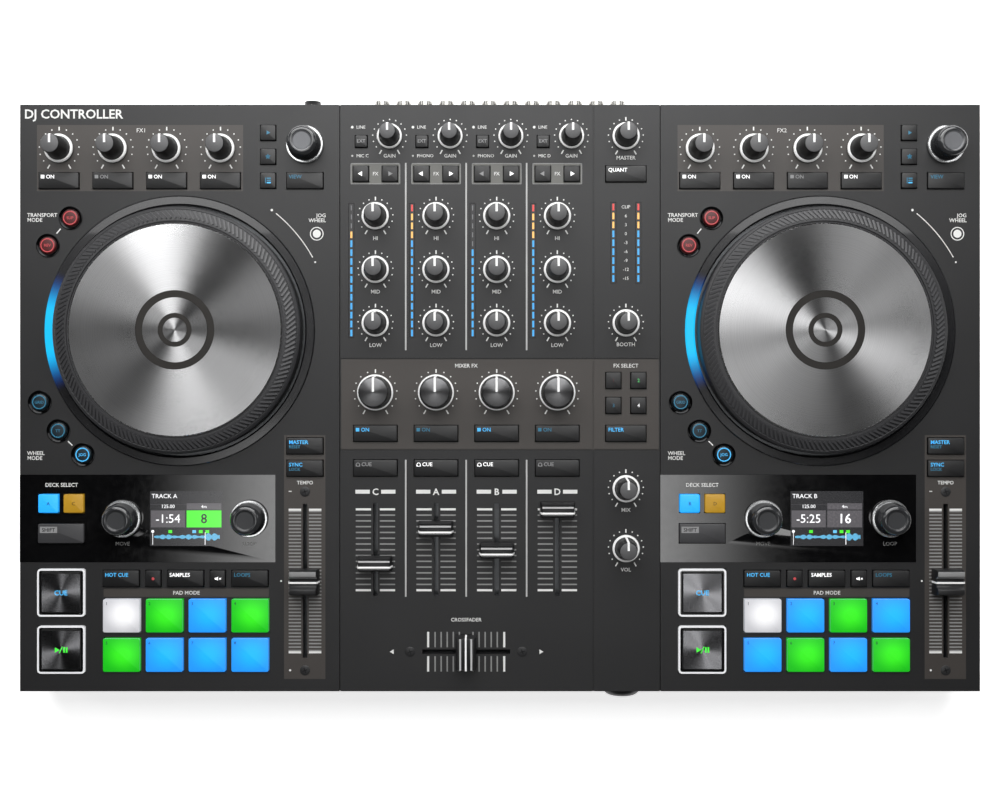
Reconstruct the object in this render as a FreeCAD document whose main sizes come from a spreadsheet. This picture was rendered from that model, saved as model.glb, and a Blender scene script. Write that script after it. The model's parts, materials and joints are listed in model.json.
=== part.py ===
import FreeCAD, Part
import os
import re

import Sketcher
from FreeCAD import Placement, Rotation, Vector

# A four channel, two deck disc jockey controller. The origin is on the table, under the middle of
# the case: +X to the player's right, +Y to the rear, +Z up. All sizes are in millimetres.

doc = FreeCAD.newDocument("dj_controller")

# ---------------------------------------------------------------- driving sizes
# Places ending in _x and _y are measured from the middle of the plate that carries the control.

SIZES = {
    # casing
    "case_width": 523.0,
    "case_depth": 319.3,
    "case_height": 38.0,
    "foot_height": 3.0,
    "foot_r": 9.0,
    "foot_inset": 26.0,
    "wall": 2.5,
    "tray_sheet": 1.6,
    "tray_lip": 8.0,
    "tray_gap": 0.3,
    "tray_inset": 0.5,
    "ledge_width": 3.0,
    "rib_width": 5.0,
    "ledge_height": 4.0,
    "corner_r": 1.5,
    "plate_thickness": 2.0,
    "plate_seam": 0.5,
    "plate_groove": 1.0,
    "plate_groove_depth": 0.6,
    "boss_top_gap": 2.0,
    "boss_inset": 7.0,
    "boss_r": 4.0,
    "screw_r": 1.5,
    "screw_bite": 10.0,
    "screw_fit": 0.02,
    "screw_head_r": 2.8,
    "screw_head_height": 1.6,
    "panel_screw_r": 2.7,
    "panel_screw_height": 0.4,
    "cut_margin": 1.0,
    # boards and what stands on them
    "board_depth": 13.4,
    "board_sheet": 1.6,
    "board_side_gap": 7.2,
    "board_end_gap": 11.5,
    "jog_hole_gap": 2.5,
    "pot_side": 10.4,
    "pot_head_gap": 0.5,
    "pot_shaft_r": 3.0,
    "pot_bore_gap": 0.3,
    "pot_floor": 1.0,
    "shaft_hole_gap": 0.6,
    "switch_side": 6.0,
    "switch_height": 4.6,
    # keys
    "key_gap": 0.35,
    "key_rise": 1.2,
    "key_travel": 1.0,
    "key_rest_gap": 0.4,
    "key_corner_r": 0.8,
    "key_breadth": 8.8,
    "small_key": 8.3,
    "wide_key": 19.8,
    # knobs
    "skirt_gap": 0.6,
    "skirt_height": 1.5,
    "knob_height": 13.6,
    "knob_edge": 0.6,
    "fx_skirt_r": 7.8,
    "fx_foot_r": 6.2,
    "fx_top_r": 4.9,
    "gain_skirt_r": 6.8,
    "gain_foot_r": 5.4,
    "gain_top_r": 4.3,
    "tone_skirt_r": 7.4,
    "tone_foot_r": 6.0,
    "tone_top_r": 4.8,
    "sweep_skirt_r": 9.8,
    "sweep_foot_r": 8.6,
    "sweep_top_r": 7.9,
    "sweep_height": 12.0,
    "encoder_skirt_r": 10.2,
    "encoder_foot_r": 8.9,
    "encoder_top_r": 8.2,
    "encoder_height": 11.0,
    # jog wheels
    "jog_y": 36.5,
    "jog_rim_r": 66.7,
    "jog_rim_edge": 1.6,
    "jog_rim_width": 9.3,
    "jog_groove": 1.4,
    "jog_groove_depth": 1.2,
    "jog_rise": 11.0,
    "jog_sink": 2.6,
    "jog_shaft_r": 6.0,
    "jog_shaft_length": 22.0,
    "ring_gap": 1.6,
    "ring_width": 5.2,
    "ring_rise": 0.6,
    "ring_depth": 5.0,
    "ring_fit": 0.2,
    "motor_r": 38.0,
    "motor_height": 21.0,
    "flange_sheet": 2.0,
    # deck layout
    "fx_first_x": -65.6,
    "fx_pitch": 29.27,
    "fx_knob_y": 135.8,
    "fx_key_y": 118.2,
    "fx_key": 21.8,
    "list_key_x": 48.2,
    "list_key_pitch": 13.0,
    "browse_x": 68.2,
    "browse_y": 137.9,
    "arc_key_offset": 11.9,
    "arc_key_r": 4.5,
    "display_x": -17.5,
    "display_y": -65.6,
    "display_length": 139.3,
    "display_breadth": 47.8,
    "display_sheet": 1.0,
    "display_fit": 0.1,
    "screen_x": 3.6,
    "screen_length": 39.5,
    "screen_breadth": 29.8,
    "screen_depth": 4.0,
    "screen_gap": 0.4,
    "screen_top_gap": 0.2,
    "start_key_x": -64.3,
    "deck_key": 10.9,
    "deck_key_breadth": 10.0,
    "deck_key_pitch": 13.7,
    "deck_key_rise_y": 8.2,
    "shift_key": 25.0,
    "shift_key_breadth": 10.5,
    "shift_key_drop_y": 8.1,
    "move_x": -31.1,
    "loop_x": 37.9,
    "tempo_x": 68.2,
    "tempo_y": -99.6,
    "tempo_travel": 77.6,
    "master_key_y": -26.1,
    "sync_key_y": -38.3,
    "start_key": 22.4,
    "start_bezel": 26.0,
    "start_bezel_gap": 0.3,
    "start_bezel_rise": 0.9,
    "cue_key_y": -105.9,
    "play_key_y": -136.9,
    "mode_first_x": -31.7,
    "mode_pitch": 17.5,
    "mode_y": -98.2,
    "pad_first_x": -31.4,
    "pad_pitch": 23.27,
    "pad_length": 20.2,
    "pad_breadth": 18.2,
    "pad_y": -118.4,
    "pad_row_pitch": 21.4,
    # mixer layout
    "channel_first_x": -67.8,
    "channel_pitch": 33.0,
    "gain_offset_x": 7.7,
    "gain_y": 142.4,
    "input_key": 6.5,
    "input_key_y": 139.5,
    "assign_offset_x": 7.9,
    "assign_key": 8.5,
    "assign_y": 121.9,
    "tone_y": 99.0,
    "tone_pitch": 29.1,
    "meter_offset_x": -13.1,
    "meter_width": 2.6,
    "meter_segment": 4.86,
    "meter_y": 69.4,
    "sweep_y": 3.0,
    "sweep_key": 23.8,
    "sweep_key_y": -19.3,
    "channel_cue_y": -38.1,
    "side_x": 68.5,
    "side_key": 22.0,
    "select_pitch": 13.6,
    "select_y": 2.7,
    "main_meter_y": 84.5,
    "mix_y": -49.3,
    "volume_y": -81.8,
    "rear_groove_y": 21.2,
    "front_groove_y": -28.3,
    "side_groove_x": 50.7,
    # faders
    "fader_y": -82.6,
    "fader_travel": 44.0,
    "crossfader_x": -18.4,
    "crossfader_y": -138.1,
    "crossfader_travel": 41.4,
    "slot_width": 2.5,
    "stem_thickness": 1.4,
    "stem_length": 4.6,
    "stem_end_gap": 0.9,
    "track_width": 9.0,
    "track_end": 5.0,
    "track_wall": 1.5,
    "track_room": 1.0,
    "cap_gap": 1.6,
    "cap_height": 8.2,
    "cap_taper": 1.4,
    "cap_groove": 0.8,
    "channel_cap_width": 19.0,
    "channel_cap_length": 8.2,
    "tempo_cap_width": 16.4,
    "tempo_cap_length": 14.0,
    "cross_cap_width": 11.0,
    "cross_cap_length": 19.0,
    "panel_screw_gap": 6.6,
    # sockets
    "socket_reach": 6.3,
    "mic_reach": 3.15,
    "socket_fit": 0.2,
    "jack_side": 12.0,
    "jack_board_gap": 1.0,
    "jack_bore_r": 3.2,
    "jack_bore_length": 27.0,
    "jack_end_wall": 2.0,
    "headphone_x": 68.0,
    "headphone_collar_r": 10.5,
    "headphone_collar_round": 4.4,
    "mic_x": -150.0,
    "mic_pitch": 25.0,
    "mic_collar_r": 7.5,
    "phono_first_x": -66.0,
    "phono_pitch": 12.0,
    "phono_block": 10.4,
    "phono_sleeve_r": 4.15,
    "phono_pin_r": 1.6,
    "phono_block_depth": 8.0,
    "usb_x": 120.0,
    "usb_pitch": 22.0,
    "usb_block": 12.0,
    "usb_block_height": 11.0,
    "usb_mouth": 8.45,
    "usb_mouth_height": 7.8,
    "usb_tongue": 5.6,
    "usb_tongue_height": 3.2,
    "usb_depth": 14.0,
    "usb_tongue_step": 1.2,
    "power_x": 180.0,
    "power_block": 11.0,
    "power_bore_r": 3.2,
    "power_pin_r": 1.0,
    "ground_x": -105.0,
    "ground_r": 4.5,
}

# Rest places of the channel faders, as shares of their travel from its middle.
CHANNELS = {"c": -0.16, "a": 0.27, "b": 0.0, "d": 0.5}
TONE_BANDS = ("high", "mid", "low")
ARC_KEY_ANGLES = (134, 147, 207, 219.5, 232)
CHANNEL_METER_SEGMENTS = 15
MAIN_METER_SEGMENTS = 9
PHONO_SOCKETS = 12

sheet = doc.addObject("Spreadsheet::Sheet", "Sizes")
for row, (alias, number) in enumerate(SIZES.items(), start=1):
    sheet.set(f"A{row}", alias.replace("_", " "))
    sheet.set(f"B{row}", str(number))
    sheet.setAlias(f"B{row}", alias)
doc.recompute()


def cells(text):
    """The expression with each size's alias pointed at its cell."""
    return re.sub(r"[a-z][a-z_]*", lambda m: f"Sizes.{m[0]}" if m[0] in SIZES else m[0], str(text))


def amount(text):
    """The expression's number for the sheet as it stands."""
    return float(sheet.evalExpression(cells(text)))


def bind(piece, **expressions):
    for prop, text in expressions.items():
        piece.setExpression(prop, cells(text))


def put(piece, x, y, z):
    for axis, text in zip("xyz", (x, y, z)):
        piece.setExpression(f"Placement.Base.{axis}", cells(text))
    return piece


# Heights of the stack, and the middle of each plate.
PLATE_TOP = "(foot_height + case_height)"
PLATE_UNDER = f"({PLATE_TOP} - plate_thickness)"
BOARD_TOP = f"({PLATE_TOP} - board_depth)"
TRAY_TOP = "(foot_height + tray_sheet)"
PLATE_X = {"left": "(0 - case_width / 3)", "mixer": "0", "right": "(case_width / 3)"}
DECKS = ("left", "right")
SOCKET_Z = f"({BOARD_TOP} - board_sheet - jack_board_gap - jack_side / 2)"
HOLE_FOOT = f"({PLATE_UNDER} - cut_margin)"
HOLE_HEIGHT = "(plate_thickness + 2 * cut_margin)"
REAR_WALL = "(case_depth / 2)"
FRONT_WALL = "(0 - case_depth / 2)"


# ---------------------------------------------------------------- ways of making a piece


def block(name, x, y, z, length, breadth, height):
    """A box that stands on z with its middle over x, y."""
    piece = doc.addObject("Part::Box", name)
    bind(piece, Length=length, Width=breadth, Height=height)
    return put(piece, f"{x} - ({length}) / 2", f"{y} - ({breadth}) / 2", z)


def rod(name, x, y, z, radius, height):
    """An upright cylinder that stands on z."""
    piece = doc.addObject("Part::Cylinder", name)
    bind(piece, Radius=radius, Height=height)
    return put(piece, x, y, z)


def lying_rod(name, x, y, z, radius, length):
    """A cylinder from y towards the rear."""
    piece = doc.addObject("Part::Cylinder", name)
    piece.Placement = Placement(Vector(), Rotation(Vector(1, 0, 0), -90))
    bind(piece, Radius=radius, Height=length)
    return put(piece, x, y, z)


def fuse(name, pieces):
    piece = doc.addObject("Part::MultiFuse", name)
    piece.Shapes = pieces
    return piece


def group(name, pieces):
    piece = doc.addObject("Part::Compound", name)
    piece.Links = pieces
    return piece


def cut(name, base, tools):
    piece = doc.addObject("Part::Cut", name)
    piece.Base = base
    piece.Tool = tools[0] if len(tools) == 1 else group(f"{name}_tools", tools)
    return piece


def round_uprights(name, base, radius):
    """Rounds the upright edges of a box."""
    doc.recompute([base])
    piece = doc.addObject("Part::Fillet", name)
    piece.Base = base
    edges = []
    for number, edge in enumerate(base.Shape.Edges, start=1):
        ends = [v.Point for v in edge.Vertexes]
        if abs(ends[0].x - ends[1].x) < 1e-6 and abs(ends[0].y - ends[1].y) < 1e-6:
            edges.append((number, radius, radius))
    piece.Edges = edges
    return piece


def key(name, x, y, length, breadth):
    """A key cap that stands proud of its plate, with rounded corners."""
    base = f"{BOARD_TOP} + switch_height + key_travel + key_rest_gap"
    height = f"{PLATE_TOP} + key_rise - ({base})"
    blank = block(f"{name}_blank", x, y, base, length, breadth, height)
    return round_uprights(name, blank, amount("key_corner_r"))


def turned(name, profile, x, y, z):
    """A round body: its (radius, height) profile is turned about its own upright axis."""
    body = doc.addObject("PartDesign::Body", name)
    sketch = body.newObject("Sketcher::SketchObject", f"{name}_profile")
    plane = next(f for f in body.Origin.OriginFeatures if f.Role == "XZ_Plane")
    sketch.AttachmentSupport = (plane, [""])
    sketch.MapMode = "FlatFace"
    points = [Vector(amount(r), amount(h), 0) for r, h in profile]
    sides = [Part.LineSegment(a, b) for a, b in zip(points, points[1:] + points[:1])]
    sketch.addGeometry(sides, False)
    constraints, bound = [], []
    for i, (radius, height) in enumerate(profile):
        constraints.append(Sketcher.Constraint("Coincident", i - 1 if i else len(profile) - 1, 2, i, 1))
        for kind, axis, text in (("DistanceX", -2, radius), ("DistanceY", -1, height)):
            if text == "0":
                constraints.append(Sketcher.Constraint("PointOnObject", i, 1, axis))
            else:
                bound.append((len(constraints), text))
                constraints.append(Sketcher.Constraint(kind, -1, 1, i, 1, amount(text)))
    sketch.addConstraint(constraints)
    for number, text in bound:
        sketch.setExpression(f"Constraints[{number}]", cells(text))
    turn = body.newObject("PartDesign::Revolution", f"{name}_turn")
    turn.Profile = sketch
    turn.ReferenceAxis = (sketch, ["V_Axis"])
    turn.Angle = 360
    return put(body, x, y, z)


nodes = {}


def node(label, piece):
    piece.Label = label
    nodes[label] = piece


# ---------------------------------------------------------------- lists that each control adds to

plate_holes = {side: [] for side in PLATE_X}
window_holes = {side: [] for side in DECKS}
inner_bodies = []
deck_keys = {side: [] for side in DECKS}
mixer_keys = []
pads = []
light_guides = []
case_screws = []


def slot_in_plate(side, name, x, y, length, breadth):
    hole = block(f"{name}_hole", x, y, HOLE_FOOT, length, breadth, HOLE_HEIGHT)
    plate_holes[side].append(hole)


def add_key(side, group_list, name, x, y, length, breadth, in_window=False):
    """A rectangular key: its cap, the hole in the plate and the switch on the board."""
    where = f"{PLATE_X[side]} + {x}"
    group_list.append(key(name, where, y, length, breadth))
    opening = (f"{length} + 2 * key_gap", f"{breadth} + 2 * key_gap")
    slot_in_plate(side, name, where, y, *opening)
    if in_window:
        window_holes[side].append(
            block(f"{name}_window_hole", where, y, HOLE_FOOT, *opening, HOLE_HEIGHT)
        )
    inner_bodies.append(
        block(f"{name}_switch", where, y, BOARD_TOP, "switch_side", "switch_side", "switch_height")
    )


def add_knob(side, name, x, y, kind, height, in_window=False):
    """A knob on its shaft, the hole it passes through and the pot or encoder that holds it."""
    where = f"{PLATE_X[side]} + {x}"
    foot = "(board_depth + skirt_gap - pot_floor)"
    profile = [
        ("0", "0"),
        ("pot_shaft_r", "0"),
        ("pot_shaft_r", foot),
        (f"{kind}_skirt_r", foot),
        (f"{kind}_skirt_r", f"{foot} + skirt_height"),
        (f"{kind}_foot_r", f"{foot} + skirt_height"),
        (f"{kind}_top_r", f"{foot} + skirt_height + {height} - knob_edge"),
        (f"{kind}_top_r - knob_edge", f"{foot} + skirt_height + {height}"),
        ("0", f"{foot} + skirt_height + {height}"),
    ]
    node(name, turned(name, profile, where, y, f"{BOARD_TOP} + pot_floor"))
    hole_r = "pot_shaft_r + shaft_hole_gap"
    plate_holes[side].append(
        rod(f"{name}_hole", where, y, HOLE_FOOT, hole_r, HOLE_HEIGHT)
    )
    if in_window:
        window_holes[side].append(
            rod(f"{name}_window_hole", where, y, HOLE_FOOT, hole_r, HOLE_HEIGHT)
        )
    height_of_pot = "board_depth - plate_thickness - pot_head_gap"
    pot = block(f"{name}_pot_blank", where, y, BOARD_TOP, "pot_side", "pot_side", height_of_pot)
    bore = rod(
        f"{name}_pot_bore", where, y, f"{BOARD_TOP} + pot_floor - pot_bore_gap",
        "pot_shaft_r + pot_bore_gap", height_of_pot,
    )
    inner_bodies.append(cut(f"{name}_pot", pot, [bore]))


def add_fader(side, name, x, y, rest, travel, cap_width, cap_length, along_x=False):
    """A fader: cap and stem at its rest place, the slot in the plate and the track under it."""
    where = f"{PLATE_X[side]} + {x}"
    slot_length = f"{travel} + stem_length + 2 * stem_end_gap"
    track_length = f"{slot_length} + 2 * track_end"
    stem_foot = f"{BOARD_TOP} + 2 * track_wall"
    cap_foot = f"{PLATE_TOP} + cap_gap"

    def sized(along, across):
        return (along, across) if along_x else (across, along)

    cap_x = f"{where} + {rest}" if along_x else where
    cap_y = y if along_x else f"{y} + {rest}"
    stem = block(
        f"{name}_stem", cap_x, cap_y, stem_foot, *sized("stem_length", "stem_thickness"),
        f"{cap_foot} - ({stem_foot}) + cap_height / 2",
    )
    cap = doc.addObject("Part::Wedge", f"{name}_cap")
    bind(
        cap, Xmin="0", Ymin="0", Zmin="0", X2min="cap_taper", Z2min="cap_taper",
        Xmax=cap_width, Ymax="cap_height", Zmax=cap_length,
        X2max=f"{cap_width} - cap_taper", Z2max=f"{cap_length} - cap_taper",
    )
    cap.Placement = Placement(Vector(), Rotation(Vector(1, 0, 0), 90))
    put(cap, f"{cap_x} - {cap_width} / 2", f"{cap_y} + {cap_length} / 2", cap_foot)
    groove = block(
        f"{name}_groove", cap_x, cap_y, f"{cap_foot} + cap_height - cap_groove",
        *sized("cap_groove", f"2 * ({cap_width} + {cap_length})"), "2 * cap_groove",
    )
    node(name, cut(name, fuse(f"{name}_whole", [stem, cap]), [groove]))
    slot_in_plate(side, name, where, y, *sized(slot_length, "slot_width"))
    track_height = "board_depth - plate_thickness - pot_head_gap"
    track = block(
        f"{name}_track_blank", where, y, BOARD_TOP, *sized(track_length, "track_width"), track_height
    )
    channel = block(
        f"{name}_track_channel", where, y, f"{BOARD_TOP} + track_wall",
        *sized(f"{slot_length} + 2 * track_room", "track_width - 2 * track_wall"),
        f"{track_height} - 2 * track_wall",
    )
    mouth = block(
        f"{name}_track_mouth", where, y, f"{BOARD_TOP} + track_wall",
        *sized(slot_length, "slot_width"), track_height,
    )
    inner_bodies.append(cut(f"{name}_track", track, [fuse(f"{name}_track_hollow", [channel, mouth])]))
    return where, slot_length


def panel_screw(name, x, y):
    case_screws.append(
        rod(name, x, y, PLATE_TOP, "panel_screw_r", "panel_screw_height")
    )


# ---------------------------------------------------------------- decks

for side in DECKS:
    keys = deck_keys[side]

    # effect knobs, each with its key below
    for n in range(4):
        x = f"(fx_first_x + {n} * fx_pitch)"
        add_knob(side, f"{side}_fx_knob_{n + 1}", x, "fx_knob_y", "fx", "knob_height")
        add_key(side, keys, f"{side}_fx_key_{n + 1}", x, "fx_key_y", "fx_key", "key_breadth")

    # browsing keys and encoder
    for n in range(3):
        y = f"(fx_key_y + {n} * list_key_pitch)"
        add_key(side, keys, f"{side}_list_key_{n + 1}", "list_key_x", y, "small_key", "small_key")
    add_key(side, keys, f"{side}_view_key", "browse_x", "fx_key_y", "wide_key", "key_breadth")
    add_knob(side, f"{side}_browse_encoder", "browse_x", "browse_y", "encoder", "encoder_height")

    # round keys on an arc about the jog wheel
    for n, angle in enumerate(ARC_KEY_ANGLES, start=1):
        reach = "(jog_rim_r + ring_gap + ring_width + arc_key_offset)"
        x = f"({PLATE_X[side]} + {reach} * cos({angle}))"
        y = f"(jog_y + {reach} * sin({angle}))"
        name = f"{side}_arc_key_{n}"
        foot = f"({BOARD_TOP} + switch_height + key_travel + key_rest_gap)"
        keys.append(rod(name, x, y, foot, "arc_key_r", f"{PLATE_TOP} + key_rise - {foot}"))
        plate_holes[side].append(
            rod(f"{name}_hole", x, y, HOLE_FOOT, "arc_key_r + key_gap", HOLE_HEIGHT)
        )
        inner_bodies.append(
            block(f"{name}_switch", x, y, BOARD_TOP, "switch_side", "switch_side", "switch_height")
        )

    # keys and encoders in the gloss display strip
    for n in range(2):
        x = f"(start_key_x + {n - 0.5} * deck_key_pitch)"
        y = "(display_y + deck_key_rise_y)"
        add_key(side, keys, f"{side}_deck_key_{n + 1}", x, y, "deck_key", "deck_key_breadth", True)
    y = "(display_y - shift_key_drop_y)"
    add_key(side, keys, f"{side}_shift_key", "start_key_x", y, "shift_key", "shift_key_breadth", True)
    add_knob(side, f"{side}_move_encoder", "move_x", "display_y", "encoder", "encoder_height", True)
    add_knob(side, f"{side}_loop_encoder", "loop_x", "display_y", "encoder", "encoder_height", True)

    # tempo fader and the two keys above it
    add_key(side, keys, f"{side}_master_key", "tempo_x", "master_key_y", "wide_key", "key_breadth")
    add_key(side, keys, f"{side}_sync_key", "tempo_x", "sync_key_y", "wide_key", "key_breadth")
    where, slot = add_fader(
        side, f"{side}_tempo_fader", "tempo_x", "tempo_y", "0", "tempo_travel",
        "tempo_cap_width", "tempo_cap_length",
    )
    for end, sign in (("rear", "+"), ("front", "-")):
        y = f"(tempo_y {sign} (({slot}) / 2 + panel_screw_gap))"
        panel_screw(f"{side}_tempo_{end}_screw", where, y)

    # cue and play keys with their lit bezels
    for word in ("cue", "play"):
        y = f"{word}_key_y"
        name = f"{side}_{word}_key"
        x = f"{PLATE_X[side]} + start_key_x"
        keys.append(key(name, x, y, "start_key", "start_key"))
        slot_in_plate(side, name, x, y, "start_bezel + 2 * ring_fit", "start_bezel + 2 * ring_fit")
        bezel = block(
            f"{name}_bezel_blank", x, y, PLATE_UNDER, "start_bezel", "start_bezel",
            "plate_thickness + start_bezel_rise",
        )
        mouth = "start_key + 2 * start_bezel_gap"
        hole = block(f"{name}_bezel_hole", x, y, HOLE_FOOT, mouth, mouth, f"{HOLE_HEIGHT} + start_bezel_rise")
        light_guides.append(cut(f"{name}_bezel", bezel, [hole]))
        inner_bodies.append(
            block(f"{name}_switch", x, y, BOARD_TOP, "switch_side", "switch_side", "switch_height")
        )

    # mode keys, wide and small in turn, and the pads below them
    for n in range(5):
        x = f"(mode_first_x + {n} * mode_pitch)"
        length = "small_key" if n % 2 else "wide_key"
        add_key(side, keys, f"{side}_mode_key_{n + 1}", x, "mode_y", length, "key_breadth")
    for n in range(8):
        x = f"(pad_first_x + {n % 4} * pad_pitch)"
        y = f"(pad_y - {n // 4} * pad_row_pitch)"
        add_key(side, pads, f"{side}_pad_{n + 1}", x, y, "pad_length", "pad_breadth")

    # jog wheel: rim, sunk groove, top plate and drive shaft in one turning body
    jog_height = "(jog_shaft_length + jog_sink + jog_rise)"
    jog_plate_r = "(jog_rim_r - jog_rim_width)"
    node(
        f"{side}_jog_wheel",
        turned(
            f"{side}_jog_wheel",
            [
                ("0", "0"),
                ("jog_shaft_r", "0"),
                ("jog_shaft_r", "jog_shaft_length"),
                ("jog_rim_r", "jog_shaft_length"),
                ("jog_rim_r", f"{jog_height} - jog_rim_edge"),
                ("jog_rim_r - jog_rim_edge", jog_height),
                (f"{jog_plate_r} + jog_groove", jog_height),
                (f"{jog_plate_r} + jog_groove", f"{jog_height} - jog_groove_depth"),
                (jog_plate_r, f"{jog_height} - jog_groove_depth"),
                (jog_plate_r, jog_height),
                ("0", jog_height),
            ],
            PLATE_X[side],
            "jog_y",
            f"{PLATE_TOP} - jog_sink - jog_shaft_length",
        ),
    )

    # light ring around the wheel, standing on the flange of the drive motor
    ring_inner = "(jog_rim_r + ring_gap)"
    ring_outer = f"({ring_inner} + ring_width)"
    light_guides.append(
        turned(
            f"{side}_light_ring",
            [
                (ring_inner, "0"),
                (ring_outer, "0"),
                (ring_outer, "ring_depth + ring_rise"),
                (ring_inner, "ring_depth + ring_rise"),
            ],
            PLATE_X[side], "jog_y", f"{PLATE_TOP} - ring_depth",
        )
    )
    plate_holes[side].append(
        rod(
            f"{side}_jog_hole", PLATE_X[side], "jog_y", HOLE_FOOT,
            f"{ring_outer} + ring_fit", HOLE_HEIGHT,
        )
    )
    bore_r = "jog_shaft_r + pot_bore_gap"
    inner_bodies.append(
        turned(
            f"{side}_jog_motor",
            [
                (bore_r, "0"),
                ("motor_r", "0"),
                ("motor_r", "motor_height"),
                (ring_outer, "motor_height"),
                (ring_outer, "motor_height + flange_sheet"),
                (bore_r, "motor_height + flange_sheet"),
            ],
            PLATE_X[side], "jog_y", f"{PLATE_TOP} - ring_depth - flange_sheet - motor_height",
        )
    )


# ---------------------------------------------------------------- mixer

for n, (letter, rest) in enumerate(CHANNELS.items()):
    channel = f"channel_{letter}"
    x = f"(channel_first_x + {n} * channel_pitch)"
    gain_x = f"({x} + gain_offset_x)"
    input_x = f"({x} - gain_offset_x)"
    add_knob("mixer", f"{channel}_gain_knob", gain_x, "gain_y", "gain", "knob_height")
    add_key("mixer", mixer_keys, f"{channel}_input_key", input_x, "input_key_y", "input_key", "input_key")
    for way, sign in (("left", "-"), ("right", "+")):
        assign_x = f"({x} {sign} assign_offset_x)"
        name = f"{channel}_{way}_assign_key"
        add_key("mixer", mixer_keys, name, assign_x, "assign_y", "assign_key", "assign_key")
    for row, band in enumerate(TONE_BANDS):
        y = f"(tone_y - {row} * tone_pitch)"
        add_knob("mixer", f"{channel}_{band}_knob", x, y, "tone", "knob_height")
    add_knob("mixer", f"{channel}_filter_knob", x, "sweep_y", "sweep", "sweep_height")
    add_key("mixer", mixer_keys, f"{channel}_filter_key", x, "sweep_key_y", "sweep_key", "key_breadth")
    add_key("mixer", mixer_keys, f"{channel}_cue_key", x, "channel_cue_y", "sweep_key", "key_breadth")
    add_fader(
        "mixer", f"{channel}_fader", x, "fader_y", f"({rest} * fader_travel)", "fader_travel",
        "channel_cap_width", "channel_cap_length",
    )

# master column on the right of the mixer
add_knob("mixer", "master_knob", "side_x", "gain_y", "tone", "knob_height")
add_key("mixer", mixer_keys, "quantise_key", "side_x", "assign_y", "side_key", "key_breadth")
add_knob("mixer", "booth_knob", "side_x", "tone_y - 2 * tone_pitch", "tone", "knob_height")
for n in range(4):
    x = f"(side_x + {n % 2 - 0.5} * select_pitch)"
    y = f"(select_y + {0.5 - n // 2} * select_pitch)"
    add_key("mixer", mixer_keys, f"select_key_{n + 1}", x, y, "small_key", "key_breadth")
add_key("mixer", mixer_keys, "filter_select_key", "side_x", "sweep_key_y", "side_key", "key_breadth")
add_knob("mixer", "headphone_mix_knob", "side_x", "mix_y", "tone", "knob_height")
add_knob("mixer", "headphone_volume_knob", "side_x", "volume_y", "tone", "knob_height")

where, slot = add_fader(
    "mixer", "crossfader", "crossfader_x", "crossfader_y", "0", "crossfader_travel",
    "cross_cap_width", "cross_cap_length", along_x=True,
)
for end, sign in (("left", "-"), ("right", "+")):
    x = f"({where} {sign} (({slot}) / 2 + panel_screw_gap))"
    panel_screw(f"crossfader_{end}_screw", x, "crossfader_y")


def add_meter(name, x, y, segments):
    """A level meter's light guide, flush in its slot in the mixer plate."""
    length = f"{segments} * meter_segment"
    light_guides.append(block(name, x, y, PLATE_UNDER, "meter_width", length, "plate_thickness"))
    slot_in_plate("mixer", name, x, y, "meter_width + 2 * ring_fit", f"{length} + 2 * ring_fit")


for n, letter in enumerate(CHANNELS):
    x = f"(channel_first_x + {n} * channel_pitch + meter_offset_x)"
    add_meter(f"channel_{letter}_meter", x, "meter_y", CHANNEL_METER_SEGMENTS)
for way, sign in (("left", "-"), ("right", "+")):
    add_meter(f"main_{way}_meter", f"(side_x {sign} select_pitch / 2)", "main_meter_y", MAIN_METER_SEGMENTS)


# ---------------------------------------------------------------- plates, windows and key groups

plates = []
windows = []
for side, x in PLATE_X.items():
    blank = block(
        f"{side}_plate_blank", x, "0", PLATE_UNDER, "case_width / 3 - plate_seam", "case_depth",
        "plate_thickness",
    )
    holes = plate_holes[side]
    if side in DECKS:
        display_x = f"{x} + display_x"
        pocket = block(
            f"{side}_display_pocket", display_x, "display_y", f"{PLATE_TOP} - display_sheet",
            "display_length", "display_breadth", "display_sheet + cut_margin",
        )
        screen_x = f"{x} + screen_x"
        screen_hole = block(
            f"{side}_screen_hole", screen_x, "display_y", HOLE_FOOT,
            "screen_length + 2 * screen_gap", "screen_breadth + 2 * screen_gap", HOLE_HEIGHT,
        )
        holes = holes + [screen_hole]
        window = block(
            f"{side}_window_blank", display_x, "display_y", f"{PLATE_TOP} - display_sheet",
            "display_length - 2 * display_fit", "display_breadth - 2 * display_fit", "display_sheet",
        )
        windows.append(cut(f"{side}_window", window, window_holes[side]))
        blank = cut(f"{side}_plate_pocketed", blank, [pocket])
    else:
        groove_foot = f"{PLATE_TOP} - plate_groove_depth"
        groove_height = "plate_groove_depth + cut_margin"
        grooves = [
            block(
                f"{end}_groove", x, f"{end}_groove_y", groove_foot, "case_width / 3", "plate_groove",
                groove_height,
            )
            for end in ("rear", "front")
        ]
        grooves.append(
            block(
                "side_groove", "side_groove_x", "0", groove_foot, "plate_groove",
                "case_depth + 2 * cut_margin", groove_height,
            )
        )
        blank = cut("mixer_plate_grooved", blank, grooves)
    plates.append(cut(f"{side}_plate", blank, holes))

node("face_plates", group("face_plates", plates))
node("windows_and_light_guides", group("windows_and_light_guides", windows + light_guides))
for side in DECKS:
    node(f"{side}_deck_buttons", group(f"{side}_deck_buttons", deck_keys[side]))
node("mixer_buttons", group("mixer_buttons", mixer_keys))
node("performance_pads", group("performance_pads", pads))
node("control_bodies", group("control_bodies", inner_bodies))


# ---------------------------------------------------------------- boards and screens

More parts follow.
